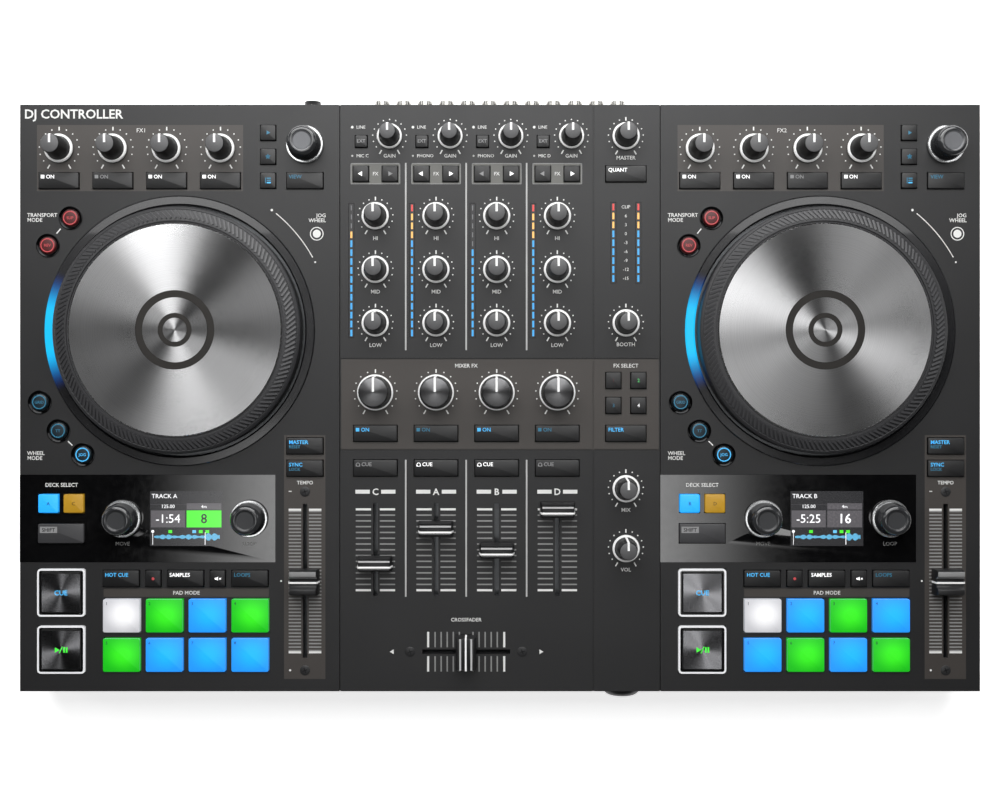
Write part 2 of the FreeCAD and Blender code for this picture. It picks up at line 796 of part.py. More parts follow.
boards = []
for side, x in PLATE_X.items():
    board = block(
        f"{side}_board", x, "0", f"{BOARD_TOP} - board_sheet",
        "case_width / 3 - 2 * board_side_gap", "case_depth - 2 * board_end_gap", "board_sheet",
    )
    if side in DECKS:
        hole = rod(
            f"{side}_board_hole", x, "jog_y", f"{BOARD_TOP} - board_sheet - cut_margin",
            "jog_rim_r + ring_gap + ring_width + jog_hole_gap", "board_sheet + 2 * cut_margin",
        )
        board = cut(f"{side}_drilled_board", board, [hole])
        boards.append(
            block(
                f"{side}_screen", f"{x} + screen_x", "display_y",
                f"{PLATE_TOP} - display_sheet - screen_top_gap - screen_depth",
                "screen_length", "screen_breadth", "screen_depth",
            )
        )
    boards.append(board)
node("circuit_boards", group("circuit_boards", boards))


# ---------------------------------------------------------------- sockets, and the holes they need

sockets = []
wall_holes = []
lip_notches = []


def socket_hole(name, x, y, side, height):
    """A square hole through the front or rear wall for a socket's block, and through the tray's lip."""
    lip_depth = "wall + tray_gap + tray_sheet"
    for what, depth, holes in (("wall", "wall", wall_holes), ("lip", lip_depth, lip_notches)):
        holes.append(
            block(
                f"{name}_{what}_hole", x, y, f"{SOCKET_Z} - ({height}) / 2 - socket_fit",
                f"{side} + 2 * socket_fit", f"2 * ({depth} + cut_margin)", f"{height} + 2 * socket_fit",
            )
        )


def jack(name, x, at_rear, collar):
    """A 6.35 millimetre jack socket: a block through the wall, a collar outside and a blind bore."""
    stand_out = "mic_reach" if at_rear else "socket_reach"
    block_depth = f"jack_bore_length + jack_end_wall - {stand_out}"
    if at_rear:
        body_y, collar_y = f"{REAR_WALL} - ({block_depth}) / 2", REAR_WALL
        bore_y = f"{REAR_WALL} + {stand_out} - jack_bore_length"
    else:
        body_y, collar_y = f"{FRONT_WALL} + ({block_depth}) / 2", f"{FRONT_WALL} - {stand_out}"
        bore_y = f"{FRONT_WALL} - {stand_out}"
    body = block(
        f"{name}_block", x, body_y, f"{SOCKET_Z} - jack_side / 2", "jack_side", block_depth, "jack_side"
    )
    ring = collar(f"{name}_collar", x, collar_y, stand_out)
    bore = lying_rod(f"{name}_bore", x, bore_y, SOCKET_Z, "jack_bore_r", "jack_bore_length")
    sockets.append(cut(name, fuse(f"{name}_whole", [body, ring]), [bore]))
    socket_hole(name, x, REAR_WALL if at_rear else FRONT_WALL, "jack_side", "jack_side")


def plain_collar(name, x, y, length):
    return lying_rod(name, x, y, SOCKET_Z, "mic_collar_r", length)


def domed_collar(name, x, y, length):
    """A broad collar whose outer edge is well rounded."""
    ring = lying_rod(f"{name}_blank", x, y, SOCKET_Z, "headphone_collar_r", length)
    doc.recompute([ring])
    outer = min(
        range(len(ring.Shape.Edges)), key=lambda i: ring.Shape.Edges[i].CenterOfMass.y
    )
    piece = doc.addObject("Part::Fillet", name)
    piece.Base = ring
    round_r = amount("headphone_collar_round")
    piece.Edges = [(outer + 1, round_r, round_r)]
    return piece


jack("headphone_jack", "headphone_x", False, domed_collar)
for n in range(2):
    jack(f"microphone_jack_{n + 1}", f"(mic_x + {n} * mic_pitch)", True, plain_collar)

for n in range(PHONO_SOCKETS):
    name = f"phono_socket_{n + 1}"
    x = f"(phono_first_x + {n} * phono_pitch)"
    body = block(
        f"{name}_block", x, f"{REAR_WALL} - phono_block_depth / 2", f"{SOCKET_Z} - phono_block / 2",
        "phono_block", "phono_block_depth", "phono_block",
    )
    sleeve = lying_rod(f"{name}_sleeve", x, REAR_WALL, SOCKET_Z, "phono_sleeve_r", "socket_reach")
    bore = lying_rod(
        f"{name}_bore", x, f"{REAR_WALL} - wall", SOCKET_Z, "phono_pin_r", "wall + socket_reach"
    )
    sockets.append(cut(name, fuse(f"{name}_whole", [body, sleeve]), [bore]))
    socket_hole(name, x, REAR_WALL, "phono_block", "phono_block")

for n in range(2):
    name = f"usb_socket_{n + 1}"
    x = f"(usb_x + {n} * usb_pitch)"
    middle = f"{REAR_WALL} - usb_depth / 2"
    body = block(
        f"{name}_block", x, middle, f"{SOCKET_Z} - usb_block_height / 2",
        "usb_block", "usb_depth", "usb_block_height",
    )
    mouth = block(
        f"{name}_mouth", x, f"{middle} + wall", f"{SOCKET_Z} - usb_mouth_height / 2",
        "usb_mouth", "usb_depth", "usb_mouth_height",
    )
    tongue = block(
        f"{name}_tongue", x, f"{middle} - usb_tongue_step / 2", f"{SOCKET_Z} - usb_tongue_height / 2",
        "usb_tongue", "usb_depth - usb_tongue_step", "usb_tongue_height",
    )
    sockets.append(fuse(name, [cut(f"{name}_shell", body, [mouth]), tongue]))
    socket_hole(name, x, REAR_WALL, "usb_block", "usb_block_height")

body = block(
    "power_block", "power_x", f"{REAR_WALL} - usb_depth / 2", f"{SOCKET_Z} - power_block / 2",
    "power_block", "usb_depth", "power_block",
)
bore = lying_rod(
    "power_bore", "power_x", f"{REAR_WALL} - usb_depth + wall", SOCKET_Z, "power_bore_r", "usb_depth"
)
pin = lying_rod(
    "power_pin", "power_x", f"{REAR_WALL} - usb_depth", SOCKET_Z, "power_pin_r",
    "usb_depth - usb_tongue_step",
)
sockets.append(fuse("power_socket", [cut("power_shell", body, [bore]), pin]))
socket_hole("power_socket", "power_x", REAR_WALL, "power_block", "power_block")

sockets.append(
    lying_rod("ground_terminal", "ground_x", REAR_WALL, SOCKET_Z, "ground_r", "socket_reach")
)
node("sockets", group("sockets", sockets))


# ---------------------------------------------------------------- casing

tray_inner = (
    "case_width - 2 * (wall + tray_gap + tray_sheet)",
    "case_depth - 2 * (wall + tray_gap + tray_sheet)",
)
floor = block(
    "tray_floor", "0", "0", "foot_height",
    "case_width - 2 * tray_inset", "case_depth - 2 * tray_inset", "tray_sheet",
)
lip = cut(
    "tray_lip",
    block(
        "tray_lip_blank", "0", "0", TRAY_TOP,
        "case_width - 2 * (wall + tray_gap)", "case_depth - 2 * (wall + tray_gap)", "tray_lip",
    ),
    [
        block(
            "tray_lip_inside", "0", "0", f"{TRAY_TOP} - cut_margin", *tray_inner,
            "tray_lip + 2 * cut_margin",
        )
    ],
)
SCREW_SPOTS = [
    (f"({sx} * (case_width / {share} - {inset}))", f"({sy} * (case_depth / 2 - boss_inset))")
    for share, inset in (("2", "boss_inset"), ("6", "0"))
    for sx in (-1, 1)
    for sy in (-1, 1)
]
screw_holes = []
bosses = []
boss_bores = []
boss_clearances = []
for n, (x, y) in enumerate(SCREW_SPOTS, start=1):
    screw_holes.append(
        rod(f"tray_hole_{n}", x, y, "foot_height - cut_margin", "screw_r", "tray_sheet + 2 * cut_margin")
    )
    head = rod(
        f"screw_head_{n}", x, y, "foot_height - screw_head_height", "screw_head_r", "screw_head_height"
    )
    shank = rod(
        f"screw_shank_{n}", x, y, "foot_height", "screw_r - screw_fit", "tray_sheet + screw_bite"
    )
    case_screws.append(fuse(f"case_screw_{n}", [head, shank]))
    boss_height = f"{PLATE_UNDER} - boss_top_gap - {TRAY_TOP}"
    bosses.append(rod(f"boss_{n}", x, y, TRAY_TOP, "boss_r", boss_height))
    boss_bores.append(
        rod(f"boss_bore_{n}", x, y, f"{TRAY_TOP} - cut_margin", "screw_r", "screw_bite + 2 * cut_margin")
    )
    boss_clearances.append(
        rod(f"boss_clearance_{n}", x, y, TRAY_TOP, "boss_r + tray_gap", "tray_lip + cut_margin")
    )
lip_notched = cut("tray_lip_notched", lip, boss_clearances + lip_notches)
tray = fuse("tray_whole", [floor, lip_notched])
node("bottom_tray", cut("bottom_tray", tray, screw_holes))

wall_height = f"{PLATE_UNDER} - {TRAY_TOP}"
outside = block("walls_blank", "0", "0", TRAY_TOP, "case_width", "case_depth", wall_height)
outside = round_uprights("walls_rounded", outside, amount("corner_r"))
inside = block(
    "walls_inside", "0", "0", f"{TRAY_TOP} - cut_margin", "case_width - 2 * wall", "case_depth - 2 * wall",
    f"{wall_height} + 2 * cut_margin",
)
walls = cut("walls", outside, [inside])
ledge_z = f"{PLATE_UNDER} - ledge_height"
ledge = cut(
    "ledge",
    block("ledge_blank", "0", "0", ledge_z, "case_width - wall", "case_depth - wall", "ledge_height"),
    [
        block(
            "ledge_inside", "0", "0", f"{ledge_z} - cut_margin",
            "case_width - 2 * (wall + ledge_width)", "case_depth - 2 * (wall + ledge_width)",
            "ledge_height + 2 * cut_margin",
        )
    ],
)
ribs = [
    block(
        f"rib_{way}", f"{sign} case_width / 6", "0", ledge_z,
        "rib_width", "case_depth - wall", "ledge_height",
    )
    for way, sign in (("left", "0 -"), ("right", "0 +"))
]
case_whole = fuse("case_whole", [walls, ledge] + ribs + bosses)
node("top_case", cut("top_case", case_whole, [group("case_tools", boss_bores + wall_holes)]))

feet = []
for n, (sx, sy) in enumerate([(-1, -1), (0, -1), (1, -1), (-1, 1), (0, 1), (1, 1)], start=1):
    foot = rod(
        f"foot_{n}", f"({sx} * (case_width / 2 - foot_inset))",
        f"({sy} * (case_depth / 2 - foot_inset))", "0", "foot_r", "foot_height",
    )
    feet.append(foot)
node("rubber_feet", group("rubber_feet", feet))
node("case_screws", group("case_screws", case_screws))


# ---------------------------------------------------------------- build, check and write

doc.recompute()
for thing in doc.Objects:
    bad = [word for word in thing.State if word in ("Invalid", "Error")]
    if bad:
        raise RuntimeError(f"{thing.Name} failed: {bad}")
for label, piece in nodes.items():
    if piece.Shape.isNull() or not piece.Shape.isValid() or not piece.Shape.Solids:
        raise RuntimeError(f"{label} has no sound shape")

os.makedirs("parts", exist_ok=True)
for label, piece in nodes.items():
    piece.Shape.exportStep(f"parts/{label}.step")
print(f"{len(nodes)} nodes, {sum(len(p.Shape.Solids) for p in nodes.values())} solids")
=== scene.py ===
import json
import math

import bmesh
import bpy
from mathutils import Matrix, Vector

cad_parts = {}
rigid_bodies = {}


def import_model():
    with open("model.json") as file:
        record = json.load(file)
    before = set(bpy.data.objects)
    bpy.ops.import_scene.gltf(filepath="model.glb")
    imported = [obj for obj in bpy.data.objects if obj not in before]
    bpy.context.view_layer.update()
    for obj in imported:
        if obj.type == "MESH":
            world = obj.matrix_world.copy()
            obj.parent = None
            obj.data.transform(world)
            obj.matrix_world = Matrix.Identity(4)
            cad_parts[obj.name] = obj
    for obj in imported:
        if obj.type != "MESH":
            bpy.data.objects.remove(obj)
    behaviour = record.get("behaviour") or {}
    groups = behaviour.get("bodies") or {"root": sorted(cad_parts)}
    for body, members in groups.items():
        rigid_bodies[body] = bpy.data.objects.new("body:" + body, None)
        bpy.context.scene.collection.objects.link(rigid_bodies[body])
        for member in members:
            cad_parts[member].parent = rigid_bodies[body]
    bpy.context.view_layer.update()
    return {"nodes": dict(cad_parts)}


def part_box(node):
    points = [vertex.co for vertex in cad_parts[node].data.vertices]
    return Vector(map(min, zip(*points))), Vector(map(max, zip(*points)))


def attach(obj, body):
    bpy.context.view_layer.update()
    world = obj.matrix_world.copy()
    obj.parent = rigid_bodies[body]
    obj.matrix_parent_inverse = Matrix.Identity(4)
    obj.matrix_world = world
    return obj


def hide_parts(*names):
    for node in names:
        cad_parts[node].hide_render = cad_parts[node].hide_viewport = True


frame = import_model()
nodes = frame["nodes"]
scene = bpy.context.scene

# ---------------------------------------------------------------- table, camera and light
# The controller lies on a pale table and is looked at from straight above, because every control is on
# its upper face. Large soft lamps stand to the rear and the sides, so knobs shade towards the player.

scene.view_settings.view_transform = "Standard"

camera = bpy.data.objects.new("overhead_camera", bpy.data.cameras.new("overhead_camera"))
camera.data.lens = 46.3
camera.data.sensor_width = 36.0
camera.location = (0, -0.00109, 0.741)
scene.collection.objects.link(camera)
scene.camera = camera


def lamp(name, place, aim, size, power):
    """A square soft box at a place in metres, turned to its aim."""
    light = bpy.data.objects.new(name, bpy.data.lights.new(name, "AREA"))
    light.data.shape = "RECTANGLE"
    light.data.size, light.data.size_y = size
    light.data.energy = power
    light.location = place
    light.rotation_euler = (Vector(aim) - Vector(place)).to_track_quat("-Z", "Y").to_euler()
    scene.collection.objects.link(light)
    return light


# the lamps that light everything but the turned metal faces
lamps = [
    lamp("rear_lamp", (-0.05, 0.72, 0.58), (0, 0.02, 0), (1.3, 0.3), 8),
    lamp("rear_box", (0, 0.64, 1.2), (0, 0.64, 0), (1.3, 0.8), 10.5),
    lamp("left_lamp", (-1.5, 0.55, 1.0), (0, 0, 0), (0.4, 0.8), 2),
    lamp("right_lamp", (1.5, 0.45, 1.0), (0, 0, 0), (0.4, 0.8), 2),
    lamp("front_lamp", (0.1, -1.6, 0.8), (0, 0, 0), (0.9, 0.3), 0.3),
]


def tone(code):
    """The linear colour of a six-figure paint code."""
    parts = [int(code[i:i + 2], 16) / 255 for i in (0, 2, 4)]
    return [c / 12.92 if c <= 0.04045 else ((c + 0.055) / 1.055) ** 2.4 for c in parts] + [1.0]


def node_group(name, inputs, outputs):
    """A shader node group with its sockets, its input node and its output node."""
    group = bpy.data.node_groups.new(name, "ShaderNodeTree")
    for label, kind, value in inputs:
        socket = group.interface.new_socket(label, in_out="INPUT", socket_type=f"NodeSocket{kind}")
        socket.default_value = value
    for label, kind in outputs:
        group.interface.new_socket(label, in_out="OUTPUT", socket_type=f"NodeSocket{kind}")
    return group, group.nodes.new("NodeGroupInput").outputs, group.nodes.new("NodeGroupOutput").inputs


def group_node(tree, group, values):
    """A node that uses a group, with some of its inputs set."""
    node = tree.nodes.new("ShaderNodeGroup")
    node.node_tree = group
    for label, value in values.items():
        node.inputs[label].default_value = value
    return node


def position(tree, kind="Object"):
    """The X, Y and Z of a kind of texture coordinate."""
    node = tree.nodes.new("ShaderNodeSeparateXYZ")
    tree.links.new(tree.nodes.new("ShaderNodeTexCoord").outputs[kind], node.inputs[0])
    return node.outputs


def scaled(tree, colour, factor):
    """A colour socket made lighter or darker by a factor socket."""
    node = tree.nodes.new("ShaderNodeVectorMath")
    node.operation = "SCALE"
    tree.links.new(colour, node.inputs[0])
    tree.links.new(factor, node.inputs["Scale"])
    return node.outputs[0]


def calc(tree, operation, *values):
    """The result of a Math node on sockets and plain numbers."""
    node = tree.nodes.new("ShaderNodeMath")
    node.operation = operation
    for socket, value in zip(node.inputs, values):
        if isinstance(value, (int, float)):
            socket.default_value = value
        else:
            tree.links.new(value, socket)
    return node.outputs[0]


def mix(tree, share, first, second):
    """A colour between two, each a socket or a linear colour."""
    node = tree.nodes.new("ShaderNodeMix")
    node.data_type = "RGBA"
    for socket, value in zip((node.inputs[0], node.inputs[6], node.inputs[7]), (share, first, second)):
        if isinstance(value, bpy.types.NodeSocket):
            tree.links.new(value, socket)
        else:
            socket.default_value = value
    return node.outputs[2]


# The studio is dim overhead, so polished faces stay dark, with one wide soft panel in front of the middle.
world = bpy.data.worlds.new("studio")
world.use_nodes = True
scene.world = world
tree = world.node_tree
tree.nodes["Background"].inputs["Color"].default_value = (1, 1, 1, 1)


def ramp(tree, value, start, end):
    """A smooth climb from 0 at start to 1 at end."""
    node = tree.nodes.new("ShaderNodeMapRange")
    node.interpolation_type = "SMOOTHSTEP"
    tree.links.new(value, node.inputs["Value"])
    node.inputs["From Min"].default_value = start
    node.inputs["From Max"].default_value = end
    return node.outputs["Result"]


way = position(tree, "Generated")
up = calc(tree, "MAXIMUM", way["Z"], 0.01)
aside = calc(tree, "ABSOLUTE", calc(tree, "ADD", calc(tree, "DIVIDE", way["X"], up), 0.026))
forward = calc(tree, "ABSOLUTE", calc(tree, "ADD", calc(tree, "DIVIDE", way["Y"], up), 0.092))
panel = calc(tree, "MULTIPLY", ramp(tree, aside, 0.255, 0.12), ramp(tree, forward, 0.09, 0.05))
dome = calc(tree, "MULTIPLY", ramp(tree, way["Z"], 0.97, 0.55), 0.06)
strength = calc(tree, "ADD", dome, calc(tree, "MULTIPLY", panel, 3.4))
tree.links.new(strength, tree.nodes["Background"].inputs["Strength"])


def noise(tree, scale, detail):
    """A noise on Object coordinates."""
    node = tree.nodes.new("ShaderNodeTexNoise")
    node.inputs["Detail"].default_value = detail
    if isinstance(scale, (int, float)):
        node.inputs["Scale"].default_value = scale
    else:
        tree.links.new(scale, node.inputs["Scale"])
    tree.links.new(tree.nodes.new("ShaderNodeTexCoord").outputs["Object"], node.inputs["Vector"])
    return node.outputs["Fac"]


# Fine moulding or paint grain with broader cloudy patches of handling wear.
grain, given, sent = node_group(
    "surface_grain",
    [
        ("Colour", "Color", (0.1, 0.1, 0.1, 1)),
        ("Roughness", "Float", 0.5),
        ("Scale", "Float", 2500.0),
        ("Variation", "Float", 0.2),
    ],
    [("Colour", "Color"), ("Roughness", "Float"), ("Height", "Float")],
)
fine = noise(grain, given["Scale"], 3)
cloud = noise(grain, 26.0, 4)
offset = calc(grain, "SUBTRACT", calc(grain, "ADD", fine, cloud), 1.0)
lift = calc(grain, "ADD", 1.0, calc(grain, "MULTIPLY", offset, given["Variation"]))
grain.links.new(scaled(grain, given["Colour"], lift), sent["Colour"])
rough = calc(grain, "ADD", given["Roughness"], calc(grain, "MULTIPLY", offset, 0.16))
grain.links.new(rough, sent["Roughness"])
grain.links.new(fine, sent["Height"])


def finish(name, code, roughness, scale=2500.0, variation=0.25, depth=0.02, metallic=0.0, coat=0.0, glow=0.0):
    """A grained material: paint code, roughness, grain size and depth in millimetres, metal, lacquer, light."""
    material = bpy.data.materials.new(name)
    material.use_nodes = True
    tree = material.node_tree
    shader = tree.nodes["Principled BSDF"]
    values = {"Colour": tone(code), "Roughness": roughness, "Scale": scale, "Variation": variation}
    surface = group_node(tree, grain, values)
    tree.links.new(surface.outputs["Colour"], shader.inputs["Base Color"])
    tree.links.new(surface.outputs["Roughness"], shader.inputs["Roughness"])
    if depth:
        bump = tree.nodes.new("ShaderNodeBump")
        bump.inputs["Distance"].default_value = depth / 1000
        tree.links.new(surface.outputs["Height"], bump.inputs["Height"])
        tree.links.new(bump.outputs["Normal"], shader.inputs["Normal"])
    shader.inputs["Metallic"].default_value = metallic
    shader.inputs["Coat Weight"].default_value = coat
    if glow:
        tree.links.new(surface.outputs["Colour"], shader.inputs["Emission Color"])
        shader.inputs["Emission Strength"].default_value = glow
    return material


def paint(verts, material):
    """Puts the faces round some vertices in a material slot."""
    for face in {face for vert in verts for face in vert.link_faces}:
        face.material_index = material


def box(bm, x, y, z, length, breadth, height, turn=0.0, material=0):
    """A closed box that stands on z with its middle over x, y, turned about its own upright axis."""
    place = Matrix.Translation((x, y, z + height / 2)) @ Matrix.Rotation(turn, 4, "Z")
    made = bmesh.ops.create_cube(bm, size=1, matrix=place @ Matrix.Diagonal((length, breadth, height, 1)))
    paint(made["verts"], material)
    return made["verts"]


SMOOTH_BELOW = math.radians(35)


def make(name, bm, *materials):
    """The object of a bmesh drawn in millimetres: doubles merged, faces outwards, gentle bends shaded smooth."""
    bmesh.ops.remove_doubles(bm, verts=bm.verts, dist=0.002)
    bmesh.ops.recalc_face_normals(bm, faces=bm.faces)
    bmesh.ops.scale(bm, vec=(0.001, 0.001, 0.001), verts=bm.verts)
    mesh = bpy.data.meshes.new(name)
    bm.to_mesh(mesh)
    bm.free()
    for material in materials:
        mesh.materials.append(material)
    mesh.set_sharp_from_angle(angle=SMOOTH_BELOW)
    thing = bpy.data.objects.new(name, mesh)
    scene.collection.objects.link(thing)
    return thing


bm = bmesh.new()
box(bm, 0, 0, -20, 6000, 6000, 20)
table = make("table_top", bm, finish("pale_table", "fbfbfb", 0.8, scale=90.0, variation=0.01, glow=0.75))


# ---------------------------------------------------------------- case, tray, boards and control bodies
# The body is one black moulded shell of walls, ledge, ribs and screw bosses on a folded steel tray. The
# boards inside carry the switches, pots and fader tracks, which show only through the gaps.


def dress(node, material):
    """Gives a CAD node a finish."""
    for socket in nodes[node].material_slots:
        socket.material = material


dress("top_case", finish("case_black", "2b2b2c", 0.5, scale=1400.0, depth=0.05))
dress("bottom_tray", finish("tray_steel", "3a3b3d", 0.42, scale=700.0, metallic=0.6, depth=0.03))
dress("circuit_boards", finish("board_green", "12301f", 0.4, scale=600.0))
dress("control_bodies", finish("control_steel", "6d6f71", 0.35, scale=900.0, metallic=0.8))


# ---------------------------------------------------------------- face plates
# Three anodised aluminium plates lie on the case: a deck at each side and the mixer between. The warm
# grey fields for effects, tempo, pad modes and filters are a second colour of the same satin finish.

zone, given, sent = node_group(
    "zone_mask",
    [
        ("Centre X", "Float", 0.0),
        ("Centre Y", "Float", 0.0),
        ("Half Length", "Float", 10.0),
        ("Half Breadth", "Float", 10.0),
        ("Mask", "Float", 0.0),
    ],
    [("Mask", "Float")],
)
place = position(zone)
inside = []
for axis, centre, half in (("X", "Centre X", "Half Length"), ("Y", "Centre Y", "Half Breadth")):
    offset = calc(zone, "SUBTRACT", calc(zone, "MULTIPLY", place[axis], 1000.0), given[centre])
    inside.append(calc(zone, "LESS_THAN", calc(zone, "ABSOLUTE", offset), given[half]))
zone.links.new(calc(zone, "MAXIMUM", calc(zone, "MULTIPLY", *inside), given["Mask"]), sent["Mask"])


def corners_of(node):
    """The lowest and highest corner of a CAD node, in millimetres."""
    return [corner * 1000 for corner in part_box(node)]


def middle(node):
    """The middle of a CAD node, in millimetres."""
    low, high = corners_of(node)
    return (low + high) / 2


PLATE_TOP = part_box("face_plates")[1].z * 1000
DECK_X = {side: middle(f"{side}_jog_wheel").x for side in ("left", "right")}
JOG_Y = middle("left_jog_wheel").y
# The fields of a deck, from its jog wheel's axis: left, right, front and rear edge.
DECK_FIELDS = {
    "effects": (-77.7, 34.5, 112.6, 148.6),
    "tempo": (56.8, 79.3, -152.9, -20.2),
    "pad_modes": (-41.4, 48.5, -108.2, -103.7),
}
MIXER_FIELD = (-86.4, 86.4, -28.3, 21.2)

CHANNELS = ("c", "a", "b", "d")
CHANNEL_X = {letter: middle(f"channel_{letter}_filter_knob").x for letter in CHANNELS}
PLATE_PAINT, WARM_PAINT, PALE_PAINT = tone("1f1f20"), tone("413d3a"), tone("686864")
warm = [(x + a, x + b, c, d) for x in DECK_X.values() for a, b, c, d in DECK_FIELDS.values()] + [MIXER_FIELD]
pale = [(x - 13.3, x + 13.3, 116.6, 127.7) for x in CHANNEL_X.values()]


def painted(tree, base, paint, areas):
    """The base colour with another laid over some rectangles: left, right, front and rear edge."""
    mask = None
    for left, right, front, rear in areas:
        values = {
            "Centre X": (left + right) / 2, "Centre Y": (front + rear) / 2,
            "Half Length": (right - left) / 2, "Half Breadth": (rear - front) / 2,
        }
        field = group_node(tree, zone, values)
        if mask:
            tree.links.new(mask, field.inputs["Mask"])
        mask = field.outputs["Mask"]
    return mix(tree, mask, base, paint)


def recolour(tree, colour):
    """Feeds a colour socket to the grain of a finish."""
    surface = next(n for n in tree.nodes if n.type == "GROUP" and n.node_tree == grain)
    tree.links.new(colour, surface.inputs["Colour"])


plate = finish("plate_anodised", "1f1f20", 0.4, scale=3200.0, variation=0.12, depth=0.012)
tree = plate.node_tree
recolour(tree, painted(tree, painted(tree, PLATE_PAINT, WARM_PAINT, warm), PALE_PAINT, pale))
dress("face_plates", plate)


# ---------------------------------------------------------------- printing on the plates
# Every word, tick and line on the plates is a thin layer of white ink. Legends are generic, and the
# ticks stand round the controls they belong to.

INK = 0.05
white_ink = finish("white_ink", "e9e9e7", 0.6, scale=1800.0, variation=0.06)
grey_ink = finish("grey_ink", "8f8f8e", 0.6, scale=1800.0, variation=0.06)


def words(bm, text, x, y, z, cap, align="LEFT", bold=0.0, material=0):
    """Letters of a given capital height, standing on y, as a thin layer of ink."""
    curve = bpy.data.curves.new("letters", "FONT")
    curve.body = text
    curve.align_x = align
    curve.size = cap / 0.69
    curve.space_line = 0.92
    curve.offset = bold
    curve.extrude = INK / 2
    curve.resolution_u = 2
    letters = bpy.data.objects.new("letters", curve)
    mesh = bpy.data.meshes.new_from_object(letters)
    mesh.transform(Matrix.Translation((x, y, z + INK / 2)))
    before = set(bm.faces)
    bm.from_mesh(mesh)
    for face in set(bm.faces) - before:
        face.material_index = material
    bpy.data.objects.remove(letters)
    bpy.data.curves.remove(curve)
    bpy.data.meshes.remove(mesh)


def dot(bm, x, y, z, radius, material=0, sides=12, turn=0.0):
    """A round spot of ink, or one with a few straight sides."""
    place = Matrix.Translation((x, y, z + INK / 2)) @ Matrix.Rotation(turn, 4, "Z")
    made = bmesh.ops.create_cone(
        bm, cap_ends=True, segments=sides, radius1=radius, radius2=radius, depth=INK, matrix=place
    )
    paint(made["verts"], material)


def arrow(bm, x, y, z, size, turn, material=0):
    """A solid arrowhead, pointing to +X before its turn."""
    dot(bm, x, y, z, size, material, sides=3, turn=turn + math.pi / 6)


def spin(bm, points, centre, steps, material=0, closed=True, axis=(0, 0, 1)):
    """Spins a profile about an axis through a centre, and gives its new faces."""
    before = set(bm.faces)
    verts = [bm.verts.new(point) for point in points]
    sides = [bm.edges.new(pair) for pair in zip(verts, verts[1:] + (verts[:1] if closed else []))]
    bmesh.ops.spin(bm, geom=verts + sides, cent=centre, axis=axis, angle=2 * math.pi, steps=steps, use_merge=True)
    new = set(bm.faces) - before
    for face in new:
        face.material_index = material
    return new


def hoop(bm, x, y, z, inner, outer, steps=40, material=0):
    """A flat ring of ink."""
    corners = ((inner, 0), (outer, 0), (outer, INK), (inner, INK))
    spin(bm, [(x + r, y, z + h) for r, h in corners], (x, y, 0), steps, material)


def tick_ring(bm, node, gap, long_top=True):
    """Thirteen dots and two end dashes round a knob."""
    low, high = corners_of(node)
    x, y = middle(node).xy
    radius = (high.x - low.x) / 2 + gap
    for n in range(-6, 7):
        angle = math.pi / 2 + math.radians(n * 21.43)
        at = (x + radius * math.cos(angle), y + radius * math.sin(angle))
        if n == 0 and long_top:
            box(bm, *at, PLATE_TOP, 0.7, 2.0, INK)
        else:
            dot(bm, *at, PLATE_TOP, 0.38, sides=8)
    for sign in (-1, 1):
        angle = math.pi / 2 + sign * math.radians(150)
        at = (x + (radius + 0.6) * math.cos(angle), y + (radius + 0.6) * math.sin(angle))
        box(bm, *at, PLATE_TOP, 2.4, 0.7, INK, turn=angle)


def ladder(bm, x, y, places, near, far, along_x=False):
    """Pairs of grey ticks beside a fader's slot, with broad white ones at both ends."""
    for place in places:
        last = abs(place) == max(places)
        for sign in (-1, 1):
            reach = sign * (near + far) / 2
            at = (x + place, y + reach) if along_x else (x + reach, y + place)
            size = (1.15 if last else 0.75, far - near)
            box(bm, *at, PLATE_TOP, *(size if along_x else size[::-1]), INK, material=0 if last else 1)


ARC_R, ROUND_KEY_R = 82.7, 85.4
TEMPO_X, TEMPO_REACH = 68.2, 38.8

